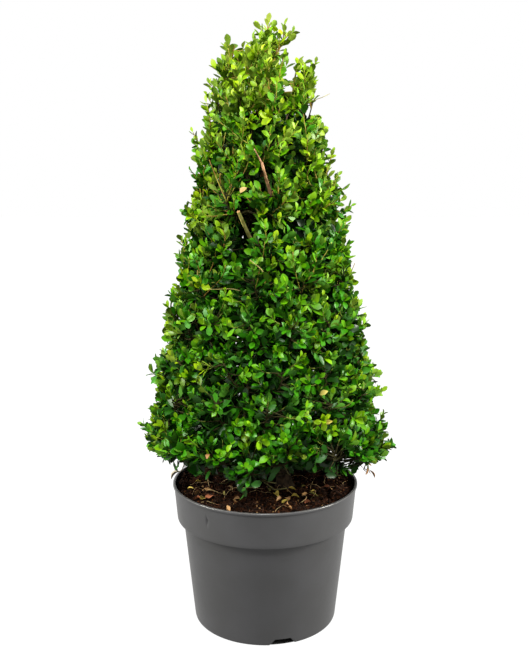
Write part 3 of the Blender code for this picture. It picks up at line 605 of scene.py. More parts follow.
def buildBoughs(barkMaterial):
    for tier in (*tiers, topTier):
        radii = tier["radius"] * np.linspace(1.0, limbs["boughTaper"], limbs["rings"])
        for number, end in enumerate(boughEnds(tier)):
            path = boughCurve(tier, number, end, limbs["rings"])
            tube = barkTube(path, radii, limbs["boughSeed"] + number)
            name = f"bough_{tier['name']}_{number + 1}"
            addPiece(name + "_bark", "bark", [name], *tube, [barkMaterial])


def buildStubs():
    # The last face of a stub is its cut
    cutMaterial = mottledMaterial("cutWood", cutWood)
    for number, stub in enumerate(stubs):
        radii = stub["radius"] * np.linspace(1.0, limbs["stubTaper"], limbs["rings"])
        radii = radii * np.linspace(1.0, stub["slim"], limbs["rings"])
        path = limbCurve(stub["start"], np.array(stub["end"]), limbs["rings"])
        points, faces = barkTube(path, radii, limbs["stubSeed"] + number)
        slots = np.concatenate([np.zeros(len(faces[0]) + 1), [1]])
        # The stub's pale colours are painted light on its bark
        first, second = stub["colours"]
        look = dict(bark, first=first, second=second, dust=limbs["stubDust"])
        materials = [mottledMaterial(f"paintedLightStubBark_{stub['name']}", look), cutMaterial]
        name = f"pruned_stub_{stub['name']}"
        addPiece(name + "_bark", "bark", [name], points, faces, materials, slots, limbs["cutSharp"])


barkMaterial = mottledMaterial("bark", bark)
buildTrunk(barkMaterial)
buildBoughs(barkMaterial)
buildStubs()
print("trunk, boughs and stubs in bark")

# Main twigs: the ones of the solids, from the same seeds
twigs = {
    "seed": 41, "rows": 3, "spacing": 0.074, "stagger": 0.12, "climb": 0.030, "tipDepth": 0.012,
    "hemRoom": 0.014, "coreThickness": 0.014, "hubDepth": 0.50, "kneeDepth": 0.35, "kneeDrop": 0.40,
    "kneeFloor": 0.008, "jitters": (0.06, 0.006, 0.08), "cornerPull": 0.8,
    "stem": 0.010, "branchSunk": 0.004, "branchPull": 0.4, "branchRadii": (0.0022, 0.0017),
    "radii": (0.0017, 0.0008), "points": 9, "sides": 5,
}


def rowOfTwigs(tier, sector, row, random):
    # A row's hub lies in the middle of its mass, and its twigs run from there to the outline
    width = turn / tier["sectors"]
    first = math.radians(tier["first"]) + sector * width
    level = tier["coreLow"] + (row + 0.5) / twigs["rows"] * (tier["high"] - tier["coreLow"])
    columns = max(2, round(width * coneRadius(level) / twigs["spacing"]))
    hub = crownPoint(first + 0.5 * width, level, tier["core"] + twigs["hubDepth"] * twigs["coreThickness"])
    draws = (2 * random.random((columns, 3)) - 1) * twigs["jitters"]
    shares = (np.arange(columns) + 0.5 + twigs["stagger"] * (-1) ** row) / columns
    azimuth = first + shares * width + draws[:, 0]
    height = level + draws[:, 1]
    kneeLevel = height - twigs["kneeDrop"] * twigs["climb"]
    kneeLevel = np.maximum(kneeLevel, tier["coreLow"] + twigs["kneeFloor"])
    knee = crownPoint(azimuth, kneeLevel, tier["core"] + twigs["kneeDepth"] * twigs["coreThickness"])
    tipAzimuth = azimuth + draws[:, 2]
    tip = crownPoint(tipAzimuth, height + 0.5 * twigs["climb"], twigs["tipDepth"])
    if tier["low"] < tier["coreLow"] and row == 0:
        hem = hemHeight(tipAzimuth) + twigs["hemRoom"]
        tip = polar(tipAzimuth, outlineRadius(tipAzimuth, hem) - twigs["tipDepth"], hem)
    return np.broadcast_to(hub, knee.shape), knee, tip


def growMainTwigs():
    # For every mass: the twigs of its rows, and the branches from its bough's tip to their hubs. A
    # mass has the number ten times its tier plus its sector.
    rows, masses, branches, branchMasses = [], [], [], []
    for number, tier in enumerate(tiers):
        for sector, end in enumerate(boughEnds(tier)):
            random = np.random.default_rng(twigs["seed"] + 100 * number + sector)
            way = boughWay(tier, sector, end)
            for row in range(twigs["rows"]):
                rows.append(rowOfTwigs(tier, sector, row, random))
                hub = rows[-1][0]
                masses += [10 * number + sector] * len(hub)
                pull = twigs["branchPull"] * np.linalg.norm(hub[0] - end)
                branches.append((end - twigs["branchSunk"] * way, end + pull * way, hub[0]))
                branchMasses.append(10 * number + sector)
    return together(rows), np.array(masses), np.array(branches), np.array(branchMasses)


(hubs, knees, tips), twigMasses, branches, branchMasses = growMainTwigs()
twigCurves = (hubs, hubs + twigs["cornerPull"] * (knees - hubs),
              tips + twigs["cornerPull"] * (knees - tips), tips)
branchCurves = (branches[:, 0], branches[:, 1], 0.5 * (branches[:, 1] + branches[:, 2]), branches[:, 2])

# The loose top, whose main shoots are given by the azimuth, radius, height and tone of their tips
topShoots = {
    "places": (
        ((2, 0.052, 0.826, 0.70), (-30, 0.030, 0.848, 0.74), (-62, 0.046, 0.838, 0.62)),
        ((66, 0.050, 0.828, 0.62), (84, 0.070, 0.806, 0.56), (112, 0.076, 0.790, 0.46)),
        ((180, 0.048, 0.850, 0.60), (160, 0.066, 0.820, 0.50), (205, 0.072, 0.806, 0.50)),
        ((268, 0.053, 0.866, 0.70), (250, 0.068, 0.826, 0.56), (290, 0.072, 0.822, 0.70)),
    ),
    "leader": ((140, 0.005, 0.895, 1.02), (82, 0.038, 0.874, 1.06), (-20, 0.010, 0.860, 0.84),
               (-60, 0.022, 0.852, 0.70)),
    "tip": 0.014, "knee": 0.22, "lift": 0.004, "tipPull": 0.35, "tipLift": 0.006,
    "radii": (0.0018, 0.0008), "points": 12, "sides": 5,
}


def growTopShoots():
    # A fork on each top bough and on the trunk's tip, with a shoot to each place
    starts, ends = [], []
    for number, (end, places) in enumerate(zip(boughEnds(topTier), topShoots["places"])):
        starts += [end + twigs["stem"] * boughWay(topTier, number, end)] * len(places)
        ends += places
    starts += [trunkCentre(limbs["top"]) + twigs["stem"] * upward] * len(topShoots["leader"])
    ends = np.array([*ends, *topShoots["leader"]], dtype=float)
    forks = np.array(starts)
    tip = polar(np.radians(ends[:, 0]), ends[:, 1], ends[:, 2])
    knee = forks + topShoots["knee"] * (tip - forks) + topShoots["lift"] * upward
    tip = tip - topShoots["tip"] * unit(tip - knee)
    return (forks, knee, tip + topShoots["tipPull"] * (knee - tip) + topShoots["tipLift"] * upward, tip,
            ends[:, 3])


*topCurves, topTones = growTopShoots()

# Hollows in the foliage, before the low stub and the brown stem and one lower down: azimuth, height,
# half width, half height and the radius they reach in to
clearings = (
    (-0.340, 0.598, 0.085, 0.036, 0.064), (-0.010, 0.672, 0.085, 0.024, 0.087),
    (0.137, 0.390, 0.060, 0.014, 0.140),
)
# Narrow gaps through which the camera sees the backdrop: x and z in the plane y = 0, and the radius
gaps = (
    (0.0360, 0.8101, 0.0065), (0.0361, 0.7896, 0.0055), (0.0373, 0.8305, 0.0070), (0.0392, 0.8480, 0.0080),
    (0.0632, 0.7662, 0.0055), (-0.0399, 0.8601, 0.0075), (-0.0301, 0.8690, 0.0080),
    (0.0740, 0.7680, 0.0065), (0.0830, 0.7720, 0.0080), (0.0900, 0.7760, 0.0090),
    (0.0665, 0.7590, 0.0055), (0.0778, 0.7610, 0.0080), (0.0890, 0.7595, 0.0105),
    (0.1148, 0.2501, 0.0060), (0.1271, 0.2439, 0.0050), (0.1026, 0.2534, 0.0050), (0.1487, 0.2311, 0.0060),
    (-0.1243, 0.2345, 0.0060),
)


def inHollow(points):
    azimuth, radius, height = azimuthOf(points), radiusOf(points), points[..., 2]
    inside = np.zeros(points.shape[:-1], dtype=bool)
    for middle, level, halfWidth, halfHeight, depth in clearings:
        near = ((azimuth - middle) / halfWidth) ** 2 + ((height - level) / halfHeight) ** 2 < 1
        inside |= near & (radius > depth)
    return inside


def inGap(points):
    # The distance from the camera's line through a place is less than the radius
    inside = np.zeros(points.shape[:-1], dtype=bool)
    away = points - np.array(studio["camera"])
    for x, z, radius in gaps:
        way = unit(np.array([x, 0.0, z]) - np.array(studio["camera"]))
        inside |= np.linalg.norm(away - (away @ way)[..., None] * way, axis=-1) < radius
    return inside


def clearOf(curves, within, shares=(0.4, 0.6, 0.8, 1.0)):
    # Whether the outer part of each curve stays out of all the hollows or gaps
    return ~within(bezier(*curves, np.array(shares))).any(1)


def spreadOverCone(count, low, high):
    # Heights at even steps of area down the cone, each a golden angle further round
    slope = outline["slope"]
    wide = coneRadius(low)
    area = wide * (high - low) - slope * (high - low) ** 2 / 2
    share = (np.arange(count) + 0.5) / count
    height = low + (wide - np.sqrt(wide ** 2 - 2 * slope * share * area)) / slope
    return np.arange(count) * goldenAngle % turn - math.pi, height


def massOf(points):
    # The number of the mass whose space holds each point
    level = borderLevel(radiusOf(points), points[:, 2])
    number = (level > tiers[0]["high"]).astype(int) + (level > tiers[1]["high"])
    first = np.radians([tier["first"] for tier in tiers])[number]
    sectors = np.array([tier["sectors"] for tier in tiers])[number]
    sector = np.floor((azimuthOf(points) - first) % turn / (turn / sectors)).astype(int)
    return 10 * number + np.minimum(sector, sectors - 1)


# How a shoot finds its start on an older twig
starting = {"shares": (0.25, 0.96), "samples": 12, "downCost": 2.5, "minRun": 0.012, "nearCost": 10,
            "choice": 0.012}


def nearestOn(curves, masses, ends, endMasses):
    # For every end, a place on the curves of its mass that is near and not above it. The random
    # part of the cost spreads the places out along the curves.
    random = np.random.default_rng(len(ends))
    points = bezier(*curves, np.linspace(*starting["shares"], starting["samples"]))
    found = np.zeros_like(ends)
    for mass in np.unique(endMasses):
        chosen = endMasses == mass
        places = points[masses == mass].reshape(-1, 3)
        away = ends[chosen][:, None] - places[None]
        length = np.linalg.norm(away, axis=-1)
        cost = length + starting["downCost"] * np.clip(-away[..., 2], 0, None)
        cost += starting["nearCost"] * np.clip(starting["minRun"] - length, 0, None)
        cost += starting["choice"] * random.random(cost.shape)
        found[chosen] = places[cost.argmin(1)]
    return found


def curvesTo(start, tip, axis, pulls):
    # They set out straight for the tip, and arrive along the axis
    return [start, start + pulls[0] * (tip - start), tip - pulls[1] * lengthOf(tip - start) * axis, tip]


# Shoots: an even spread of tips over the outline, each grown from the nearest twig of its mass
shoots = {
    "seed": 7, "count": 3100, "low": 0.205, "high": 0.800, "jitter": 0.006, "tipRoom": 0.010,
    "outerShare": 0.52, "outerDepth": (0.0, 0.006), "innerDepth": (0.009, 0.025),
    "relief": 0.015, "reliefScale": 26.0, "reliefMiddle": 0.2, "reliefSeed": 5, "hemLift": 0.012,
    "reach": 0.060, "climb": (-20.0, 60.0), "climbHeight": 0.070, "climbMore": (0.45, 70.0),
    "climbJitter": 11.2, "sideJitter": 0.27, "leaveJitter": 0.175, "pulls": (0.32, 0.42),
    "radii": (0.00105, 0.00055), "points": 5, "sides": 3,
    "bare": 0.5, "proud": (0.11, 0.013), "thinFrom": 0.58, "thin": 0.26, "brightFrom": 0.62,
}


def growShoots():
    random = np.random.default_rng(shoots["seed"])
    count = shoots["count"]
    azimuth, height = spreadOverCone(count, shoots["low"], shoots["high"])
    jitter = shoots["jitter"] * random.uniform(-1, 1, (2, count))
    height = height + jitter[1]
    azimuth = azimuth + jitter[0] / coneRadius(height)
    outer = random.random(count) < shoots["outerShare"]
    depth = np.where(outer, random.uniform(*shoots["outerDepth"], count),
                     random.uniform(*shoots["innerDepth"], count))
    surface = polar(azimuth, coneRadius(height), height)
    swell = layeredNoise(surface, shoots["reliefScale"], shoots["reliefSeed"], 2)
    depth = depth + shoots["relief"] * np.clip(swell + shoots["reliefMiddle"], 0, 1)
    proud = random.random(count) < shoots["proud"][0]
    depth = np.where(proud, -shoots["proud"][1] * random.random(count), depth)
    floor = hemHeight(azimuth) + shoots["hemLift"]
    keep = (height > floor) & ~inHollow(surface)
    azimuth, height, depth, floor = kept((azimuth, height, depth, floor), keep)
    inset = depth + shoots["tipRoom"]
    tip = polar(azimuth, outlineRadius(azimuth, height) - inset,
                np.maximum(height - outline["rise"] * inset, floor))
    start = nearestOn(twigCurves, twigMasses, tip, massOf(tip))
    near = lengthOf(tip - start)[:, 0] < shoots["reach"]
    near &= (height < shoots["thinFrom"]) | (random.random(len(tip)) > shoots["thin"])
    azimuth, height, depth, tip, start = kept((azimuth, height, depth, tip, start), near)
    count = len(tip)
    # Shoots climb more above the hem, and more again high up
    low, high = np.radians(shoots["climb"])
    climb = low + (high - low) * smoothStep(height - hemHeight(azimuth), 0.0, shoots["climbHeight"])
    climb += math.radians(shoots["climbJitter"]) * random.normal(0, 1, count)
    climb += math.radians(shoots["climbMore"][1]) * np.clip(height - shoots["climbMore"][0], 0, None)
    axis = np.cos(climb)[:, None] * polar(azimuth, 1.0, 0.0) + np.sin(climb)[:, None] * upward
    aside = shoots["sideJitter"] * random.normal(0, 1, (count, 1))
    axis = unit(axis + aside * polar(azimuth + math.pi / 2, 1.0, 0.0))
    run = lengthOf(tip - start)
    leave = unit(tip - start + shoots["leaveJitter"] * run * random.normal(0, 1, (count, 3)))
    curves = (start, start + shoots["pulls"][0] * run * leave, tip - shoots["pulls"][1] * run * axis, tip)
    keep = clearOf(curves, inHollow) & clearOf(curves, inGap)
    return kept(curves, keep), depth[keep], height[keep]


shootCurves, shootDepths, shootHeights = growShoots()
print(len(shootDepths), "shoots on", len(tips), "twigs")

# Sprigs: longer shoots that stand a little proud of the upper crown, with their stems in sight
sprigs = {
    "seed": 37, "count": 170, "low": 0.555, "high": 0.822, "proud": (-0.014, 0.010), "jitter": 0.016,
    "climb": (46.0, 76.0), "sideways": 0.272, "run": 0.056, "longest": 0.095, "pulls": (0.3, 0.4),
    "radii": (0.0010, 0.0005), "points": 9, "sides": 4,
}


def growSprigs():
    # Tips spread over the cone, each grown from the twig nearest to a place a run back down its way
    random = np.random.default_rng(sprigs["seed"])
    count = sprigs["count"]
    azimuth, height = spreadOverCone(count, sprigs["low"], sprigs["high"])
    height = height + sprigs["jitter"] * random.uniform(-1, 1, count)
    azimuth = azimuth + sprigs["jitter"] / coneRadius(height) * random.uniform(-1, 1, count)
    climb = np.radians(random.uniform(*sprigs["climb"], count))[:, None]
    axis = np.cos(climb) * polar(azimuth, 1.0, 0.0) + np.sin(climb) * upward
    aside = sprigs["sideways"] * random.normal(0, 1, (count, 1))
    axis = unit(axis + aside * polar(azimuth + math.pi / 2, 1.0, 0.0))
    tip = polar(azimuth, outlineRadius(azimuth, height) + random.uniform(*sprigs["proud"], count), height)
    start = nearestOn(twigCurves, twigMasses, tip - sprigs["run"] * axis, massOf(tip))
    curves = curvesTo(start, tip, axis, sprigs["pulls"])
    short = lengthOf(tip - start)[:, 0] < sprigs["longest"]
    return kept(curves, short & clearOf(curves, inHollow) & clearOf(curves, inGap))


sprigCurves = growSprigs()
print(len(sprigCurves[0]), "sprigs")

# Inner shoots, whose large dark leaves close the crown behind the others. A span has its low and high
# end, the number of its shoots and the least and greatest depth of their tips.
innerShoots = {
    "seed": 29, "climb": 30.0, "scatter": 0.5, "leastRadius": 0.012, "pulls": (0.3, 0.35),
    "radii": (0.0013, 0.0007), "points": 4, "sides": 3,
    "spans": ((0.258, 0.752, 1400, 0.024, 0.074), (0.290, 0.400, 170, 0.024, 0.074),
              (0.450, 0.730, 210, 0.066, 0.098)),
}


def growInnerShoots():
    # Tips spread over the cone at a depth, each grown from the nearest twig or branch of its mass
    random = np.random.default_rng(innerShoots["seed"])
    azimuth, height, depth = together(
        (*spreadOverCone(count, low, high), random.uniform(*depths, count))
        for low, high, count, *depths in innerShoots["spans"])
    tip = polar(azimuth, np.maximum(coneRadius(height) - depth, innerShoots["leastRadius"]), height)
    masses = np.concatenate([twigMasses, branchMasses])
    start = nearestOn(together((twigCurves, branchCurves)), masses, tip, massOf(tip))
    axis = polar(azimuth, 1.0, math.tan(math.radians(innerShoots["climb"])))
    axis = axis + innerShoots["scatter"] * random.normal(0, 1, tip.shape)
    return curvesTo(start, tip, unit(axis), innerShoots["pulls"])


innerCurves = growInnerShoots()

# Side shoots of the loose top, and a few that fill the dome under it
topSides = {
    "seed": 19, "count": 6, "shares": (0.12, 0.76), "shareJitter": 0.05, "lengths": (0.036, 0.014),
    "lengthShares": (0.75, 1.2), "helper": (0.3, 1.0, 0.1), "spread": 32.0, "spreadJitter": 12.0,
    "lift": 0.5, "tipLift": 0.4, "pulls": (0.4, 0.3), "room": 0.006, "leastRadius": 0.012,
    "highest": 0.875, "radii": (0.0010, 0.00055), "points": 6, "sides": 4,
}
topFill = {
    "count": 170, "low": 0.765, "high": 0.846, "shares": (0.10, 0.90), "room": 0.004, "gap": -0.12,
    "gapScale": 34.0, "gapSeed": 31, "notch": (56.0, 24.0, 0.058), "outward": 0.6, "scatter": 0.25,
    "pulls": (0.35, 0.4),
}


def growTopSides(random):
    # Side shoots leave each main shoot by turns of the golden angle, shorter towards its tip. They
    # are drawn in to stay within the outline.
    shape = (len(topTones), topSides["count"])
    share = np.linspace(*topSides["shares"], topSides["count"])
    share = share + topSides["shareJitter"] * random.uniform(-1, 1, shape)
    start = bezier(*topCurves, share)
    way = unit(bezier(*topCurves, share + 0.02) - start)
    angle = np.arange(topSides["count"]) * goldenAngle + random.uniform(0, turn, (len(topTones), 1))
    radial = around(way, angle[..., None], topSides["helper"])
    spread = topSides["spread"] + topSides["spreadJitter"] * random.uniform(-1, 1, (*shape, 1))
    spread = np.radians(spread)
    first, last = topSides["lengths"]
    length = first + (last - first) * share[..., None]
    length = length * random.uniform(*topSides["lengthShares"], (*shape, 1))
    direction = unit(np.cos(spread) * way + np.sin(spread) * radial)
    end = start + length * unit(direction + topSides["lift"] * upward)
    start, end, direction, length = (a.reshape(-1, a.shape[-1]) for a in (start, end, direction, length))
    reach = outlineRadius(azimuthOf(end), np.minimum(end[:, 2], outline["top"] - 0.004)) - topSides["room"]
    reach = np.maximum(reach, topSides["leastRadius"])
    end[:, :2] *= np.minimum(1.0, reach / np.maximum(radiusOf(end), 1e-6))[:, None]
    end[:, 2] = np.minimum(end[:, 2], topSides["highest"])
    axis = unit(end - start + topSides["tipLift"] * length * upward)
    pulls = topSides["pulls"]
    return start, start + pulls[0] * length * direction, end - pulls[1] * length * axis, end


def growTopFill(random):
    # Tips under a ceiling that has a notch where the gaps are, grown from the main shoots of the top
    count = topFill["count"]
    height = np.linspace(topFill["low"], topFill["high"], count)
    azimuth = np.arange(count) * goldenAngle
    share = np.sqrt(random.uniform(*np.square(topFill["shares"]), count))
    tip = polar(azimuth, share * outlineRadius(azimuth, height) - topFill["room"], height)
    middle, halfWidth, drop = topFill["notch"]
    ceiling = topFill["high"] - drop * bellAround(azimuth, middle, halfWidth)
    dense = layeredNoise(tip, topFill["gapScale"], topFill["gapSeed"], 2) > topFill["gap"]
    tip = tip[dense & (height < ceiling)]
    start = nearestOn(topCurves, np.zeros(len(topTones)), tip, np.zeros(len(tip)))
    axis = polar(azimuthOf(tip), topFill["outward"], 1.0)
    axis = unit(axis + topFill["scatter"] * random.normal(0, 1, tip.shape))
    return curvesTo(start, tip, axis, topFill["pulls"])


topRandom = np.random.default_rng(topSides["seed"])
topSideCurves = together((growTopSides(topRandom), growTopFill(topRandom)))
topSideCurves = kept(topSideCurves, clearOf(topSideCurves, inGap, (0.5, 0.75, 1.0)))

# Twigs under the hem, thin and nearly bare
underTwigs = {
    "seed": 23, "count": 300, "inner": 0.050, "outer": 0.158, "lift": (-0.014, 0.022), "first": 0.4,
    "outward": 0.7, "climb": -0.25, "scatter": 0.3, "pulls": (0.3, 0.4), "radii": (0.0011, 0.0006),
    "points": 6, "sides": 4,
}


def growUnderTwigs():
    # Ends spread by the golden angle over the ring between the trunk and the hem, about the hem's level
    random = np.random.default_rng(underTwigs["seed"])
    count = underTwigs["count"]
    share = (np.arange(count) + 0.5) / count
    low, high = underTwigs["inner"], underTwigs["outer"]
    azimuth = np.arange(count) * goldenAngle + underTwigs["first"]
    height = hemHeight(azimuth) + random.uniform(*underTwigs["lift"], count)
    tip = polar(azimuth, np.sqrt(low ** 2 + share * (high ** 2 - low ** 2)), height)
    start = nearestOn(twigCurves, twigMasses, tip, massOf(tip))
    axis = polar(azimuth, underTwigs["outward"], underTwigs["climb"])
    axis = unit(axis + underTwigs["scatter"] * random.normal(0, 1, tip.shape))
    return curvesTo(start, tip, axis, underTwigs["pulls"])


underCurves = growUnderTwigs()

# Leaves
leafShape = {
    "rows": ((0.30, 0.76), (0.22, 0.56, 0.86), (0.15, 0.40, 0.68, 0.90)), "widthPowers": (1.3, 0.8),
    "halfWidth": 0.285, "thickness": 0.00032, "sharp": 70,
}
# How many leaves a shoot has and how they stand, with fine as the number of their rows. What a kind
# of shoot has of its own stands in habits.
leafGrowth = {
    "seed": 3, "leaves": (6, 8), "fine": 2, "bare": 0.035, "length": 0.0148, "vary": 0.112,
    "shootVary": 0.07, "step": 0.0027, "stepJitter": 0.25, "shares": (0.04, 0.03), "axisStep": 0.06,
    "spread": (15.0, 54.0), "settle": 2.6, "scatter": 8.4, "angleJitter": 0.22,
    "helper": (0.31, 0.17, 0.05), "young": 0.60, "grown": 3.0, "outward": 0.22, "skyward": 0.20,
    "roll": 0.225, "cup": (0.00, 0.45), "arch": (-0.06, 0.14),
    "large": (-0.80, 0.26, 0.285, 0.028, 0.40),
}
habits = {
    "outer": {},
    "high": {"step": 0.0036, "spread": (16.0, 48.0), "outward": 0.14, "skyward": 0.10, "roll": 0.20},
    "deep": {"fine": 1},
    "sprig": {"leaves": (10, 14), "step": 0.0044, "length": 0.0156, "spread": (18.0, 50.0), "settle": 2.0,
              "outward": 0.16, "skyward": 0.06, "young": 0.58, "grown": 4.0, "roll": 0.20, "scatter": 7.7},
    "under": {"leaves": (3, 6), "fine": 1, "step": 0.0060, "length": 0.0160},
}
habits["inner"] = {"leaves": (5, 8), "fine": 0, "step": 0.0046, "length": 0.0188, "outward": 0.6,
                   "spread": (35.0, 80.0)}
habits["twig"] = dict(habits["inner"], leaves=(9, 13))
habits["side"] = {"leaves": (5, 8), "step": 0.0048, "length": 0.0158, "spread": (22.0, 48.0),
                  "outward": 0.05, "skyward": 0.10, "young": 0.80, "roll": 0.25}
habits["top"] = dict(habits["side"], leaves=(10, 14))
# A shoot's tone and how much it varies, and what its depth, its height, a flush of growth and the place of a
# leaf on it add. The darkening with depth, and the low tones of twig, inner and under leaves, are painted
# shade inside the crown; height makes tones darker near the hem and lighter towards the top
leafTones = {
    "shoot": (0.46, 0.08), "sprig": (0.42, 0.10), "twig": (0.08, 0.06), "inner": (0.02, 0.07),
    "side": (0.50, 0.12), "under": (0.05, 0.07), "paintedShadePerDepth": 12.0, "depths": (-0.004, 0.03),
    "heights": ((0.27, 0.33, 0.45, 0.60, 0.75, 0.85), (-0.19, -0.06, -0.07, 0.01, 0.17, 0.20)),
    "flushShare": 0.08, "flushFrom": 0.32, "flush": 0.24, "sideFlushShare": 0.2, "sideFlush": 0.22,
    "tip": 0.24, "tipSettle": 1.8, "perLeaf": 0.012, "vary": 0.045,
    "outerTo": 0.008, "upperFrom": 0.60, "edges": (0.11, 0.98, 6),
}
leafRoom = {"proud": ((0.44, 0.58), (0.014, 0.026)), "topRoom": 0.002, "underRoom": 0.020,
            "lowest": 0.216, "shares": (0.0, 0.35, 0.7, 1.0)}
leafLook = {"upperRoughness": 0.38, "underRoughness": 0.62, "underSpecular": 0.2, "dark": 0.27,
            "pale": 0.20, "darkBelow": 125}
tints = (
    ("deep", (12, 46, 1), (26, 60, 10)),
    ("dark", (27, 80, 2), (42, 90, 18)),
    ("mid", (50, 118, 3), (66, 120, 26)),
    ("fresh", (82, 140, 4), (92, 140, 34)),
    ("bright", (110, 156, 8), (116, 154, 44)),
    ("lime", (132, 170, 18), (134, 168, 52)),
    ("golden", (160, 184, 36), (162, 180, 70)),
    ("olive", (84, 120, 3), (90, 118, 26)),
    ("moss", (112, 148, 6), (116, 144, 38)),
    ("spring", (142, 174, 12), (140, 166, 50)),
)
# The share of shoots whose middle tints are yellower: everywhere, at the sides, and from a height up. The
# yellower tints at the sides, left and right of the camera, are painted light shining through the leaves
yellowingAndBacklight = {"share": 0.04, "sides": 0.46, "heights": ((0.55, 0.72, 0.80), (0.0, 0.20, 0.46)),
             "first": 2, "kinds": 3, "offset": 5}


def leafBlades(rows, roots, directions, normals, lengths, cups, arches):
    # Half width w(t) = (sin(pi t^1.3))^0.8, the midrib arched by sin(pi t), and the edges lifted by
    # cup times w. Upper and under side share the outline, and meet at root and tip.
    t = np.array(rows)[:, None]
    first, second = leafShape["widthPowers"]
    sideways = np.cross(normals, directions)[:, None]
    d, n, length = directions[:, None], normals[:, None], lengths[:, None, None]
    cup, arch = cups[:, None, None], arches[:, None, None]
    width = length * leafShape["halfWidth"] * np.sin(math.pi * t ** first) ** second
    middle = roots[:, None] + length * (t * d + arch * np.sin(math.pi * t) * n)
    edge, lift = width * sideways, width * cup * n
    under = middle - leafShape["thickness"] * n
    points = np.stack([middle + edge + lift, middle, middle - edge + lift, under], axis=2)
    points = points.reshape(len(roots), 4 * len(t), 3)
    return np.concatenate([roots[:, None], points, roots[:, None] + length * d], axis=1)


def leafFaces(rows, count):
    # Per leaf: two fans and the bands between its rows on the upper side, and as many under it
    left = 1 + 4 * np.arange(rows)
    middle, right, under = left + 1, left + 2, left + 3
    tip = 1 + 4 * rows
    quads, fans = [], []
    for a, b in ((right, middle), (middle, left), (under, right), (left, under)):
        quads.append(np.stack([a[:-1], a[1:], b[1:], b[:-1]], axis=-1))
        fans += [(0, a[0], b[0]), (tip, b[-1], a[-1])]
    offsets = (tip + 1) * np.arange(count)[:, None, None]
    quads = np.concatenate(quads)[None] + offsets
    fans = np.array(fans)[None] + offsets
    slots = [np.tile(np.repeat([0, 1], faces), count) for faces in (2 * (rows - 1), 4)]
    return [quads.reshape(-1, 4), fans.reshape(-1, 3)], np.concatenate(slots)


def addLeaves(name, slotName, replaced, materials, blades, fine):
    # Blades with the rows of their kind, as one piece of upper and under sides
    parts, slots = [], []
    for kind, rows in enumerate(leafShape["rows"]):
        points = leafBlades(rows, *kept(blades, fine == kind))
        faces, sides = leafFaces(len(rows), len(points))
        parts.append((points.reshape(-1, 3), faces))
        slots.append(sides)
    slots = np.concatenate(slots) if len(materials) > 1 else None
    addPiece(name, slotName, replaced, *joined(parts), materials, slots, leafShape["sharp"])


def leafLengths(root, number, habit, random):
    # Young leaves near the tip are shorter, and a patch of them is larger
    shape = root.shape[:-1]
    young = habit["young"] + (1 - habit["young"]) * np.clip((number + 1) / habit["grown"], 0, 1)
    length = habit["length"] * young * (1 + habit["vary"] * random.normal(0, 1, shape))
    length = length * (1 + habit["shootVary"] * random.normal(0, 1, (shape[0], 1)))
    aside, halfWidth, level, halfHeight, more = habit["large"]
    away = ((azimuthOf(root) - aside) / halfWidth) ** 2 + ((root[..., 2] - level) / halfHeight) ** 2
    return np.abs(length * (1 + more * np.exp(-away)))


def leavesOn(curves, tones, habit, random):
    # Leaves from the tip of each curve back, a golden angle apart, opening out as they age.
    # Each leaf's upper side faces the shoot's tip, and is turned a little outward and skyward.
    low, most = habit["leaves"]
    counts = random.integers(low, most + 1, len(tones))
    counts = counts * (random.random(len(tones)) > habit["bare"])
    shape = (len(tones), most)
    number = np.arange(most)
    back = habit["step"] * (number + habit["stepJitter"] * random.uniform(-1, 1, shape))
    share = 1 - np.clip(back, 0, None) / lengthOf(curves[3] - curves[0])
    grown = (number < counts[:, None]) & (share > habit["shares"][0])
    root = bezier(*curves, np.clip(share, habit["shares"][1], 1.0))
    axis = unit(root - bezier(*curves, np.clip(share - habit["axisStep"], 0.0, 1.0)))
    angle = number * goldenAngle + random.uniform(0, turn, (len(tones), 1))
    angle = angle + habit["angleJitter"] * random.normal(0, 1, shape)
    radial = around(axis, angle[..., None], habit["helper"])
    narrow, wide = habit["spread"]
    spread = narrow + (wide - narrow) * (1 - np.exp(-number / habit["settle"]))
    spread = np.radians(spread + habit["scatter"] * random.normal(0, 1, shape))[..., None]
    direction = np.cos(spread) * axis + np.sin(spread) * radial
    normal = np.sin(spread) * axis - np.cos(spread) * radial
    normal = normal + habit["outward"] * polar(azimuthOf(root), 1.0, 0.0) + habit["skyward"] * upward
    normal = normal + habit["roll"] * random.normal(0, 1, (*shape, 1)) * np.cross(direction, normal)
    normal = unit(normal - direction * dot(normal, direction))
    length = leafLengths(root, number, habit, random)
    tone = tones[:, None] + leafTones["tip"] * np.exp(-number / leafTones["tipSettle"])
    tone = tone - leafTones["perLeaf"] * number + leafTones["vary"] * random.normal(0, 1, shape)
    end = curves[3]
    # More yellow at the sides is painted light shining through the leaves there
    share = yellowingAndBacklight["share"] + yellowingAndBacklight["sides"] * np.sin(azimuthOf(end)) ** 4
    share = share + np.interp(end[:, 2], *yellowingAndBacklight["heights"])
    yellow = np.broadcast_to((random.random(len(tones)) < share)[:, None], shape)
    cup, arch = random.uniform(*habit["cup"], shape), random.uniform(*habit["arch"], shape)
    fine = np.full(shape, habit["fine"])
    return kept((root, direction, normal, length, cup, arch, tone, yellow, fine), grown)


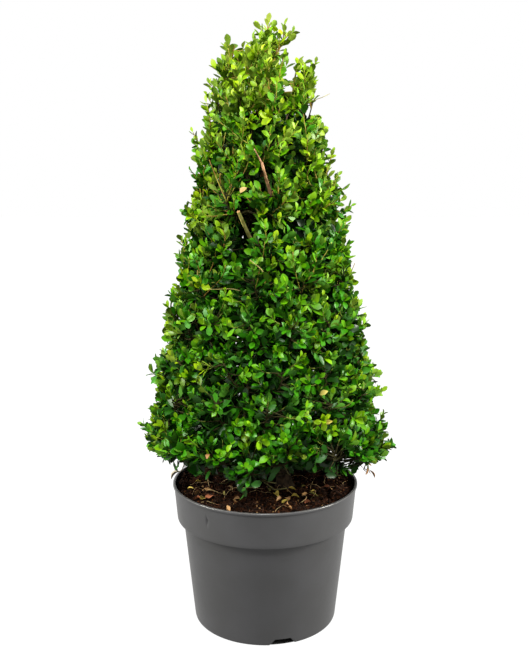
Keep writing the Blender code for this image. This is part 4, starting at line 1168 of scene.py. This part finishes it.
def growLeaves():
    # Shoots in three groups, then sprigs, main twigs, inner shoots, the loose top and under twigs
    random = np.random.default_rng(leafGrowth["seed"])
    parts = []

    def add(curves, tones, habitName):
        parts.append(leavesOn(curves, tones, {**leafGrowth, **habits[habitName]}, random))

    def tonesOf(kind, curves):
        middle, vary = leafTones[kind]
        return middle + vary * random.normal(0, 1, len(curves[0]))

    tones = tonesOf("shoot", shootCurves)
    # Painted shade: deeper shoots get darker tones
    tones -= leafTones["paintedShadePerDepth"] * np.clip(shootDepths, *leafTones["depths"])
    tones += np.interp(shootHeights, *leafTones["heights"])
    flushed = random.random(len(tones)) < leafTones["flushShare"]
    tones += np.where(flushed & (shootHeights > leafTones["flushFrom"]), leafTones["flush"], 0.0)
    outer, upper = shootDepths < leafTones["outerTo"], shootHeights > leafTones["upperFrom"]
    for chosen, habitName in ((outer & ~upper, "outer"), (outer & upper, "high"), (~outer, "deep")):
        add(kept(shootCurves, chosen), tones[chosen], habitName)
    tones = tonesOf("sprig", sprigCurves) + np.interp(sprigCurves[3][:, 2], *leafTones["heights"])
    add(sprigCurves, tones, "sprig")
    # Twig and inner leaves get low tones: painted shade inside the crown
    add(twigCurves, tonesOf("twig", twigCurves), "twig")
    add(innerCurves, tonesOf("inner", innerCurves), "inner")
    add(topCurves, topTones, "top")
    tones = tonesOf("side", topSideCurves)
    tones += leafTones["sideFlush"] * (random.random(len(tones)) < leafTones["sideFlushShare"])
    add(topSideCurves, tones, "side")
    # Leaves under the hem get low tones: painted shade under the crown
    add(underCurves, tonesOf("under", underCurves), "under")
    return together(parts)


def leavesWithRoom(roots, ends):
    # Leaves that end near the outline and above the hem, and stay out of hollows and gaps
    radius, height, azimuth = radiusOf(ends), ends[:, 2], azimuthOf(ends)
    allowed = outlineRadius(azimuth, np.clip(height, 0, outline["top"] - leafRoom["topRoom"]))
    keep = radius < allowed + np.interp(height, *leafRoom["proud"])
    keep &= height < cadHigh[2] + leafRoom["proud"][1][0]
    floor = hemHeight(azimuth) - leafRoom["underRoom"] * (radius < underTwigs["outer"])
    keep &= height > np.maximum(floor, leafRoom["lowest"])
    for share in leafRoom["shares"]:
        place = roots + share * (ends - roots)
        keep &= ~(inHollow(place) | inGap(place))
    return keep


def leafMaterials(name, upper, under):
    # Dark grown leaves are glossier than pale young ones
    specular = leafLook["dark" if max(upper) < leafLook["darkBelow"] else "pale"]
    return [shaderMaterial(f"leaf_{name}", leafLook["upperRoughness"], specular, linear(upper))[0],
            shaderMaterial(f"leaf_{name}_under", leafLook["underRoughness"], leafLook["underSpecular"],
                           linear(under))[0]]


def buildLeaves():
    *blades, tones, yellow, fine = growLeaves()
    keep = leavesWithRoom(blades[0], blades[0] + blades[3][:, None] * blades[1])
    tint = np.digitize(tones, np.linspace(*leafTones["edges"]))
    middling = (tint >= yellowingAndBacklight["first"]) & (tint < yellowingAndBacklight["first"] + yellowingAndBacklight["kinds"])
    tint = tint + yellowingAndBacklight["offset"] * (middling & (yellow > 0))
    for number, (name, upper, under) in enumerate(tints):
        mine = keep & (tint == number)
        addLeaves(f"leaves_{name}", "foliage", foliageNodes, leafMaterials(name, upper, under),
                  kept(blades, mine), fine[mine])
        print("leaves", name, int(mine.sum()))


buildLeaves()

# Oddments: bare and brown sticks, each from its foot to its tip with its radius, and dry leaves, each
# from its root to its tip
oddments = {
    "sticks": (
        ((-0.003, -0.130, 0.545), (-0.020, -0.134, 0.561), 0.0009, "bare"),
        ((-0.033, -0.126, 0.519), (-0.078, -0.118, 0.521), 0.0005, "bare"),
        ((0.030, -0.006, 0.758), (0.091, -0.004, 0.784), 0.0007, "bare"),
        ((-0.010, -0.010, 0.826), (-0.048, -0.012, 0.796), 0.0007, "bare"),
        ((0.150, 0.000, 0.246), (0.160, -0.004, 0.224), 0.0008, "bare"),
        ((-0.116, -0.006, 0.256), (-0.127, -0.010, 0.230), 0.0007, "bare"),
        ((-0.0171, -0.0559, 0.6076), (0.0110, -0.0640, 0.6280), 0.0030, "brown"),
        ((0.0110, -0.0640, 0.6280), (-0.0043, -0.1010, 0.6860), 0.0030, "brown"),
        ((-0.0035, -0.1000, 0.6830), (-0.0145, -0.1030, 0.7040), 0.0012, "brown"),
    ),
    "leaves": (
        ((-0.127, -0.010, 0.230), (-0.142, -0.014, 0.218), "bleached"),
        ((0.158, -0.004, 0.230), (0.166, -0.010, 0.219), "brown"),
        ((0.156, -0.003, 0.236), (0.152, -0.010, 0.224), "brown"),
        ((0.153, -0.001, 0.240), (0.163, 0.004, 0.233), "brown"),
        ((0.072, -0.146, 0.383), (0.083, -0.150, 0.389), "yellow"),
        ((0.080, -0.142, 0.342), (0.090, -0.147, 0.347), "yellow"),
        ((-0.024, -0.112, 0.654), (-0.033, -0.119, 0.647), "tan"),
        ((-0.074, -0.142, 0.300), (-0.078, -0.152, 0.296), "brown"),
    ),
    "tints": {"bleached": (198, 188, 166), "brown": (150, 108, 66), "tan": (172, 142, 88),
              "yellow": (190, 176, 84)},
    "colours": {"bare": ((166, 158, 84), (130, 112, 62)), "brown": ((194, 148, 108), (136, 94, 62))},
    "look": {"patches": 160.0, "roughness": (0.6, 0.75), "grain": 1500.0, "bump": 0.3, "depth": 0.0002},
    "points": 7, "sides": 6, "bow": 0.12, "taper": 0.4, "seed": 5, "tilt": 0.6, "cup": (0.3, 0.9),
    "arch": (0.0, 0.2), "roughness": 0.6, "specular": 0.3,
}


def buildSticks():
    # A stick bows upward near its foot, and less and downward near its tip
    steps = np.linspace(0.0, 1.0, oddments["points"])
    for kind, (first, second) in oddments["colours"].items():
        chosen = [stick for stick in oddments["sticks"] if stick[3] == kind]
        foot, tip = (np.array([stick[end] for stick in chosen]) for end in (0, 1))
        bow = oddments["bow"] * lengthOf(tip - foot) * upward
        paths = bezier(foot, foot + 0.33 * (tip - foot) + bow, foot + 0.66 * (tip - foot) - 0.4 * bow,
                       tip, steps)
        radii = np.array([stick[2] for stick in chosen])[:, None] * (1 - oddments["taper"] * steps)
        material = mottledMaterial(f"twig_{kind}", dict(oddments["look"], first=first, second=second))
        addPiece(f"twigs_{kind}", "foliage", (), *tubes(paths, radii, oddments["sides"]), [material])


def buildDryLeaves():
    # Their upper sides face outward and up
    random = np.random.default_rng(oddments["seed"])
    for name, colour in oddments["tints"].items():
        ends = np.array([leaf[:2] for leaf in oddments["leaves"] if leaf[2] == name])
        root, way = ends[:, 0], ends[:, 1] - ends[:, 0]
        direction = unit(way)
        facing = polar(azimuthOf(root), 1.0, oddments["tilt"])
        normal = unit(np.cross(direction, np.cross(facing, direction)))
        blades = [root, direction, normal, lengthOf(way)[:, 0],
                  random.uniform(*oddments["cup"], len(ends)), random.uniform(*oddments["arch"], len(ends))]
        material = shaderMaterial(f"leaf_{name}", oddments["roughness"], oddments["specular"],
                                  linear(colour))[0]
        addLeaves(f"leaves_{name}", "foliage", (), [material], blades, np.full(len(ends), 2))


buildSticks()
buildDryLeaves()

# Twig pieces
greenTwig = {"first": (122, 136, 44), "second": (92, 98, 34), "patches": 180.0, "roughness": (0.5, 0.65),
             "specular": 0.2, "grain": 1500.0, "bump": 0.3, "depth": 0.0002}
twigLooks = {
    "woody": {"first": (54, 51, 24), "second": (34, 31, 15), "patches": 260.0, "dust": 0.1,
              "dustColour": (84, 94, 46), "roughness": (0.7, 0.9), "specular": 0.1, "grain": 1500.0,
              "bump": 0.5, "depth": 0.0003},
    "green": greenTwig,
    "young": dict(greenTwig, first=(158, 156, 58), second=(138, 104, 48), patches=60.0),
}


def taperedTubes(curves, kind, part=(0.0, 1.0)):
    # Tubes with the radii, points and sides of a kind of twig, along all or a part of their curves
    steps = np.linspace(*part, kind["points"])
    paths = bezier(*curves, steps)
    first, last = kind["radii"]
    radii = np.broadcast_to(first + (last - first) * steps, paths.shape[:2])
    return tubes(paths, radii, kind["sides"])


def buildTwigs():
    # Shoots are woody up to a share of their length, and then green, or pale in the upper crown
    bare = shoots["bare"]
    pale = shootHeights > shoots["brightFrom"]
    kinds = {
        "woody": [taperedTubes(branchCurves, dict(twigs, radii=twigs["branchRadii"])),
                  taperedTubes(twigCurves, twigs), taperedTubes(shootCurves, shoots, (0.0, bare)),
                  taperedTubes(innerCurves, innerShoots), taperedTubes(underCurves, underTwigs)],
        "green": [taperedTubes(kept(shootCurves, ~pale), shoots, (bare, 1.0))],
        "young": [taperedTubes(kept(shootCurves, pale), shoots, (bare, 1.0)),
                  taperedTubes(sprigCurves, sprigs), taperedTubes(topCurves, topShoots),
                  taperedTubes(topSideCurves, topSides)],
    }
    for name, parts in kinds.items():
        material = mottledMaterial(f"twig_{name}", twigLooks[name])
        addPiece(f"twigs_{name}", "foliage", foliageNodes, *joined(parts), [material])


buildTwigs()
print("twigs built")

# Pot
pot = {
    "height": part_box("pot")[1][2], "lipRadius": 0.1400, "lipHeight": 0.0038, "lipProud": 0.0018,
    "lipWidth": 0.0036, "lipRound": 0.0010, "innerRound": 0.0006, "collarFoot": (0.1335, 0.1600),
    "shoulderFoot": 0.1420, "shoulderPower": 0.50, "shoulderPoints": 14,
    "bodyRadius": 0.1084, "bodySlope": 0.104, "footBevel": 0.0030, "footRing": 0.0070,
    "ringRound": 0.0008, "underside": 0.0105, "wall": 0.0020, "azimuthSteps": 216, "sharp": 38,
    "notches": 3, "notchAzimuth": 13.5, "notchWidths": (0.039, 0.023), "notchHeight": 0.0100,
    "notchReach": 0.0125, "nick": (-37.0, 0.1905, 0.0016, 0.0050, 0.0026),
    "nickSteps": 9, "nickSpan": 0.02,
}
potPlastic = {
    "first": (57, 57, 59), "second": (52, 52, 53), "patches": 16.0, "sharpness": 0.2,
    "coat": (0.75, 0.20), "dust": 0.25, "dustColour": (128, 124, 116), "roughness": (0.36, 0.46),
    "grain": 1100.0, "swell": 0.35, "bump": 0.25, "depth": 0.00025,
}
# The collar is painted lighter than the body: painted light from above, which falls on the collar and not on
# the body in its shade
paintedLitCollarPlastic = dict(potPlastic, first=(64, 64, 66), second=(59, 59, 60))
potRing = pot["bodyRadius"] - pot["footBevel"] - pot["footRing"]


def onBody(height, inset=0.0):
    # A profile point on the body's tapered side
    return pot["bodyRadius"] + pot["bodySlope"] * height - inset, height


def arc(centre, radii, degrees, count):
    # Points of a quarter or less of an ellipse about a centre, by its angle from outward to upward
    angle = np.radians(np.linspace(*degrees, count))
    return np.stack([centre[0] + radii[0] * np.cos(angle), centre[1] + radii[1] * np.sin(angle)], axis=-1)


def shoulderCurve(inset, lift):
    # A hollow from the body out to the foot of the collar, by cos(a)^p and sin(a)^p of its two sides.
    # It is squarer than a quarter ellipse, for which p = 1.
    angle = np.linspace(0.0, math.pi / 2, pot["shoulderPoints"])
    foot, low = onBody(pot["shoulderFoot"])
    out, high = pot["collarFoot"]
    radius = foot + (out - foot) * (1 - np.cos(angle).clip(0) ** pot["shoulderPower"])
    return np.stack([radius - inset, low + (high - low) * np.sin(angle) ** pot["shoulderPower"] + lift],
                    axis=-1)


def lathe(profile, azimuths, change):
    # The profile of (radius, height), from the axis and back to it, turned through the azimuths
    grid = change(polar(azimuths[None], profile[1:-1, :1], profile[1:-1, 1:]))
    rings, sides = grid.shape[:2]
    index = 1 + np.arange(rings * sides).reshape(rings, sides)
    after = np.roll(index, -1, axis=1)
    quads = np.stack([index[:-1], after[:-1], after[1:], index[1:]], axis=-1).reshape(-1, 4)
    bottomFan = np.stack([np.zeros(sides, dtype=int), after[0], index[0]], axis=-1)
    topFan = np.stack([index[-1], after[-1], np.full(sides, 1 + rings * sides)], axis=-1)
    poles = np.array([[0, 0, profile[0, 1]], [0, 0, profile[-1, 1]]])
    points = np.concatenate([poles[:1], grid.reshape(-1, 3), poles[1:]])
    return points, [quads, bottomFan, topFan]


def potProfile():
    # From the middle of the underside out, up the outer side, over the lip and down inside
    line = np.linspace
    bevel, small, wall, under = pot["footBevel"], pot["ringRound"], pot["wall"], pot["underside"]
    lip, inner = pot["lipRound"], pot["innerRound"]
    top, lipFoot = pot["height"], pot["height"] - pot["lipHeight"]
    collarOut, collarFoot = pot["collarFoot"]
    collarTop = pot["lipRadius"] - pot["lipProud"]
    floor = under + wall
    return np.concatenate([
        [(0.0, under)],
        line((0.02, under), (potRing - 0.002, under), 5),
        arc((potRing - small, under - small), (small, small), (90, 0), 4),
        line((potRing, 0.0085), (potRing, 0.0012), 5),
        arc((potRing + small, small), (small, small), (180, 270), 4),
        line((potRing + 0.002, 0.0), (pot["bodyRadius"] - bevel - 0.0006, 0.0), 3),
        arc((pot["bodyRadius"] - bevel, bevel), (bevel, bevel), (270, 355), 7),
        line(onBody(0.004), onBody(pot["notchReach"]), 6),
        line(onBody(0.016), onBody(pot["shoulderFoot"] - 0.003), 16),
        shoulderCurve(0.0, 0.0),
        line((collarOut + 0.0004, collarFoot + 0.0012), (collarTop - 0.0001, lipFoot - 0.0016), 12),
        arc((collarTop + 0.0008, lipFoot - 0.0006), (0.0008, 0.0010), (180, 110), 4),
        arc((pot["lipRadius"] - lip, lipFoot + lip), (lip, lip), (-80, 0), 5),
        arc((pot["lipRadius"] - lip, top - lip), (lip, lip), (10, 90), 6),
        arc((pot["lipRadius"] - pot["lipWidth"] + inner, top - inner), (inner, inner), (100, 180), 4),
        line((collarTop - wall, lipFoot), (collarOut - wall, collarFoot + 0.0015), 8),
        shoulderCurve(wall, 0.5 * wall)[::-1],
        line(onBody(0.13, wall), onBody(floor + 0.003, wall), 5),
        line(onBody(floor, wall), (0.02, floor), 4),
        [(0.0, floor)],
    ])


def notchAndNick(grid):
    # The foot is lifted to the outline of each notch, sloping sides up to a flat top, and the collar
    # is dented at its nick
    azimuth, radius, height = azimuthOf(grid), radiusOf(grid), grid[..., 2]
    pitch = turn / pot["notches"]
    away = (azimuth - math.radians(pot["notchAzimuth"]) + pitch / 2) % pitch - pitch / 2
    across = np.abs(away) * pot["bodyRadius"]
    foot, top = (0.5 * width for width in pot["notchWidths"])
    lift = pot["notchHeight"] * np.clip((foot - across) / (foot - top), 0.0, 1.0)
    lifted = (radius > potRing - 0.001) & (height < pot["notchReach"])
    height = np.where(lifted, np.maximum(height, lift), height)
    side, level, halfWidth, halfHeight, deep = pot["nick"]
    aside = (azimuth - math.radians(side)) * pot["lipRadius"]
    dent = deep * np.exp(-(aside / halfWidth) ** 2 - ((height - level) / halfHeight) ** 4)
    share = 1 - dent * (radius > pot["collarFoot"][0] - pot["lipWidth"]) / np.maximum(radius, 1e-6)
    return np.stack([grid[..., 0] * share, grid[..., 1] * share, height], axis=-1)


def potAzimuths():
    # Even steps, crowded at the edges of each notch and at the nick
    even = np.linspace(0, turn, pot["azimuthSteps"], endpoint=False)
    middles = math.radians(pot["notchAzimuth"]) + turn * np.arange(pot["notches"]) / pot["notches"]
    halves = 0.5 * np.array(pot["notchWidths"]) / pot["bodyRadius"]
    edges = (middles[:, None] + np.concatenate([-halves, halves])).ravel()
    nick = math.radians(pot["nick"][0]) + np.linspace(-1, 1, pot["nickSteps"]) * pot["nickSpan"]
    return np.unique(np.round(np.concatenate([even, edges % turn, nick % turn]), 5))


def buildPot():
    points, faces = lathe(potProfile(), potAzimuths(), notchAndNick)
    heights = np.concatenate([points[group, 2].mean(1) for group in faces])
    # The collar's lighter plastic is painted light from above
    materials = [mottledMaterial("potPlastic", potPlastic), mottledMaterial("paintedLitCollarPlastic", paintedLitCollarPlastic)]
    onCollar = heights > pot["collarFoot"][1] + 0.0003
    addPiece("pot_shell", "pot_plastic", ["pot"], points, faces, materials, onCollar, pot["sharp"])


buildPot()
print("pot turned")

# Potting mix with its crumbs, fibres, straws and fallen leaves
mix = {
    "height": 0.2025, "gap": 0.0003, "rings": 90, "sides": 256, "relief": 0.0060, "scale": 60.0,
    "seed": 61, "fine": 0.0026, "fineScale": 260.0, "fineSeed": 71, "rimRadius": 0.013,
    "rimRise": 0.0038, "rimWidth": 0.075, "levelFrom": 0.0072, "levelTo": 0.0288,
    "rim": (0.0034, 0.004),
}
mixLook = {
    "first": (46, 24, 12), "second": (11, 5, 3), "patches": 240.0, "sharpness": 0.8,
    "roughness": (0.9, 1.0), "specular": 0.06, "grain": 1100.0, "swell": 0.5, "bump": 1.0,
    "depth": 0.0012,
}


def fromTrunk(points):
    return np.hypot(points[..., 0] - limbs["trunkFoot"][0], points[..., 1] - limbs["trunkFoot"][1])


def mixHeight(points):
    # Lumps and crumbs of noise that fade out at the trunk's foot, on a slight rise to the rim
    flat = points * (1.0, 1.0, 0.0)
    rim = onBody(pot["shoulderFoot"])[0] + mix["rimRadius"]
    rough = mix["relief"] * layeredNoise(flat, mix["scale"], mix["seed"], 3)
    rough = rough + mix["fine"] * np.abs(layeredNoise(flat, mix["fineScale"], mix["fineSeed"], 2))
    level = smoothStep(fromTrunk(points), mix["levelFrom"], mix["levelTo"])
    rise = mix["rimRise"] * smoothStep(radiusOf(points), rim - mix["rimWidth"], rim)
    return mix["height"] + level * rough + rise


def roughen(grid):
    top = grid[..., 2] >= mix["height"] - 1e-6
    return np.stack([grid[..., 0], grid[..., 1], np.where(top, mixHeight(grid), grid[..., 2])], axis=-1)


def buildMix():
    # A body that fills the pot up to a rough disc of many rings
    line = np.linspace
    inset = pot["wall"] + mix["gap"]
    floor = pot["underside"] + inset
    wall = shoulderCurve(inset, 0.5 * pot["wall"] + mix["gap"])
    rim = (wall[-1, 0] + mix["rim"][0], mix["height"] - mix["rim"][1])
    disc = line(rim, (0.0, mix["height"]), mix["rings"] + 1)[1:]
    profile = np.concatenate([
        [(0.0, floor)],
        line((0.03, floor), onBody(floor, inset), 4),
        line(onBody(0.05, inset), onBody(0.13, inset), 4),
        wall,
        line(wall[-1] + (0.0004, 0.003), rim, 4),
        disc * (1, 0) + (0, mix["height"]),
    ])
    azimuths = np.linspace(0, turn, mix["sides"], endpoint=False)
    points, faces = lathe(profile, azimuths, roughen)
    points[-1, 2] = mixHeight(points[-1])
    material = mottledMaterial("pottingMix", mixLook)
    addPiece("potting_mix_surface", "potting_mix", ["potting_mix"], points, faces, [material])


def onMix(random, count, radius):
    # Places spread evenly over the disc of the mix
    azimuth = random.uniform(0, turn, count)
    points = polar(azimuth, radius * np.sqrt(random.random(count)), 0.0)
    points[:, 2] = mixHeight(points)
    return points


buildMix()

crumbs = {
    "seed": 51, "radius": 0.1325, "trunkRoom": 0.014, "corners": (0.6, 1.15), "stretch": (0.55, 1.25),
    "squash": 0.8, "lift": 0.35, "sharp": 40,
    "kinds": (
        ("dark", 1500, (0.0008, 0.0034), (36, 20, 11), (14, 8, 5)),
        ("brown", 620, (0.0006, 0.0030), (92, 54, 28), (46, 24, 12)),
        ("pale", 130, (0.0006, 0.0020), (176, 140, 92), (126, 92, 56)),
    ),
    "look": {"patches": 400.0, "roughness": (0.85, 1.0), "specular": 0.1, "grain": 1800.0, "bump": 0.8,
             "depth": 0.0005},
}
# The corners of an icosahedron are (-1 or 1, -g or g, 0) and the turns of these, g the golden ratio
goldenRatio = (1 + math.sqrt(5)) / 2
icosahedron = unit(np.array([np.roll((x, y, 0), shift) for shift in range(3)
                             for y in (goldenRatio, -goldenRatio) for x in (-1, 1)]))
icosahedronFaces = np.array([
    (0, 11, 5), (0, 5, 1), (0, 1, 7), (0, 7, 10), (0, 10, 11), (1, 5, 9), (5, 11, 4), (11, 10, 2),
    (10, 7, 6), (7, 1, 8), (3, 9, 4), (3, 4, 2), (3, 2, 6), (3, 6, 8), (3, 8, 9), (4, 9, 5), (2, 4, 11),
    (6, 2, 10), (8, 6, 7), (9, 8, 1)])


def buildCrumbs():
    # Each crumb is an icosahedron whose corners are moved in and out at random, then squashed
    random = np.random.default_rng(crumbs["seed"])
    for name, count, (small, large), first, second in crumbs["kinds"]:
        size = small + (large - small) * random.random(count) ** 2
        places = onMix(random, count, crumbs["radius"])
        places, size = kept((places, size), fromTrunk(places) > crumbs["trunkRoom"])
        count = len(size)
        size = size[:, None, None]
        shape = icosahedron * random.uniform(*crumbs["corners"], (count, 12, 1))
        shape = shape * random.uniform(*crumbs["stretch"], (count, 1, 3))
        angle = random.uniform(0, turn, (count, 1))
        x = shape[..., 0] * np.cos(angle) - shape[..., 1] * np.sin(angle)
        y = shape[..., 0] * np.sin(angle) + shape[..., 1] * np.cos(angle)
        shape = np.stack([x, y, crumbs["squash"] * shape[..., 2]], axis=-1) * size
        points = places[:, None] + shape + crumbs["lift"] * size * upward
        faces = (icosahedronFaces[None] + 12 * np.arange(count)[:, None, None]).reshape(-1, 3)
        material = mottledMaterial(f"crumb_{name}", dict(crumbs["look"], first=first, second=second))
        addPiece(f"crumbs_{name}", "potting_mix", (), points.reshape(-1, 3), [faces], [material],
                 sharp=crumbs["sharp"])


# A kind of fibre has its number, lengths, radius, heights of its arch, and colours
fibres = {
    "seed": 57, "points": 7, "sides": 4, "rimRoom": 0.012, "bow": 0.245, "lift": 0.6,
    "radiusShares": (0.7, 1.3), "taper": 0.45,
    "kinds": (
        ("peat", 380, (0.006, 0.020), 0.00022, (0.0004, 0.0022), (96, 58, 32), (50, 28, 16)),
        ("straw", 26, (0.022, 0.060), 0.00038, (0.0010, 0.0075), (206, 180, 128), (160, 128, 84)),
    ),
    "look": {"patches": 120.0, "roughness": (0.75, 0.9), "grain": 1800.0, "bump": 0.3, "depth": 0.0002},
}


def buildFibres():
    # Thin threads that arch over the mix from one place on it to another
    random = np.random.default_rng(fibres["seed"])
    steps = np.linspace(0.0, 1.0, fibres["points"])
    for name, count, lengths, radius, arch, first, second in fibres["kinds"]:
        start = onMix(random, count, crumbs["radius"] - fibres["rimRoom"])
        way = random.uniform(0, turn, count)
        run = random.uniform(*lengths, count)
        end = start + polar(way, run, 0.0)
        end[:, :2] *= np.minimum(1.0, crumbs["radius"] / np.maximum(radiusOf(end), 1e-6))[:, None]
        bow = fibres["bow"] * run[:, None] * polar(way + math.pi / 2, 1.0, 0.0)
        bow = bow * random.normal(0, 1, (count, 1))
        path = bezier(start, start + 0.3 * (end - start) + bow, start + 0.7 * (end - start) + bow, end,
                      steps)
        hump = np.sin(math.pi * steps) * random.uniform(*arch, (count, 1))
        path[..., 2] = mixHeight(path) + hump + fibres["lift"] * radius
        radii = radius * random.uniform(*fibres["radiusShares"], (count, 1))
        radii = radii * (1 - fibres["taper"] * np.abs(2 * steps - 1) ** 3)
        material = mottledMaterial(f"fibre_{name}", dict(fibres["look"], first=first, second=second))
        addPiece(f"fibres_{name}", "potting_mix", (), *tubes(path, radii, fibres["sides"]), [material])


# Fallen leaves. The first ones lie at given places: x, y and the number of the tint.
fallen = {
    "seed": 64, "count": 40, "lengths": (0.0090, 0.0180), "rimRoom": 0.010, "lift": 0.0012,
    "tilt": 0.30, "roll": 0.7, "rise": 0.4, "cup": (0.2, 1.1), "arch": (-0.04, 0.22),
    "roughness": 0.6, "specular": 0.3,
    "tints": (("yellow", 0.22, (226, 202, 96)), ("russet", 0.22, (196, 122, 86)),
              ("tan", 0.30, (178, 136, 88)), ("olive", 0.26, (128, 122, 58))),
    "placed": ((0.020, -0.046, 0), (0.062, -0.020, 1), (0.050, -0.058, 0), (0.074, -0.030, 0),
               (0.070, -0.052, 2), (0.036, -0.070, 0), (-0.060, -0.040, 3), (-0.098, -0.030, 2),
               (-0.088, -0.052, 3), (0.058, -0.070, 1), (0.096, -0.034, 2), (-0.040, -0.070, 2),
               (0.064, -0.040, 2), (0.046, -0.034, 0), (0.030, -0.056, 2), (0.078, -0.062, 3)),
}


def buildFallenLeaves():
    # Leaves that lie on the mix, tilted and curled, in four tints
    random = np.random.default_rng(fallen["seed"])
    count = fallen["count"]
    placed = np.array(fallen["placed"])
    places = onMix(random, count, crumbs["radius"] - fallen["rimRoom"])
    kinds = random.choice(len(fallen["tints"]), count, p=[share for _, share, _ in fallen["tints"]])
    places[:len(placed), :2] = placed[:, :2]
    kinds[:len(placed)] = placed[:, 2]
    azimuth = random.uniform(0, turn, count)
    direction = unit(polar(azimuth, 1.0, fallen["tilt"] * random.normal(0, 1, count)))
    normal = upward + fallen["roll"] * random.normal(0, 1, (count, 3))
    normal = unit(normal - direction * dot(normal, direction))
    length = random.uniform(*fallen["lengths"], count)
    places[:, 2] = mixHeight(places) + fallen["lift"] + fallen["rise"] * length * np.abs(direction[:, 2])
    cup, arch = random.uniform(*fallen["cup"], count), random.uniform(*fallen["arch"], count)
    for number, (name, _, colour) in enumerate(fallen["tints"]):
        blades = kept((places, direction, normal, length, cup, arch), kinds == number)
        material = shaderMaterial(f"fallen_{name}", fallen["roughness"], fallen["specular"],
                                  linear(colour))[0]
        addLeaves(f"fallen_leaves_{name}", "potting_mix", (), [material], blades,
                  np.full(len(blades[0]), 2))


buildCrumbs()
buildFibres()
buildFallenLeaves()
print("potting mix and litter built")

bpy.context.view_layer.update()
triangles = {o.name: sum(len(p.vertices) - 2 for p in o.data.polygons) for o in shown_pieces()}
most = max(triangles, key=triangles.get)
print("triangles", sum(triangles.values()), "most", triangles[most], "in", most)
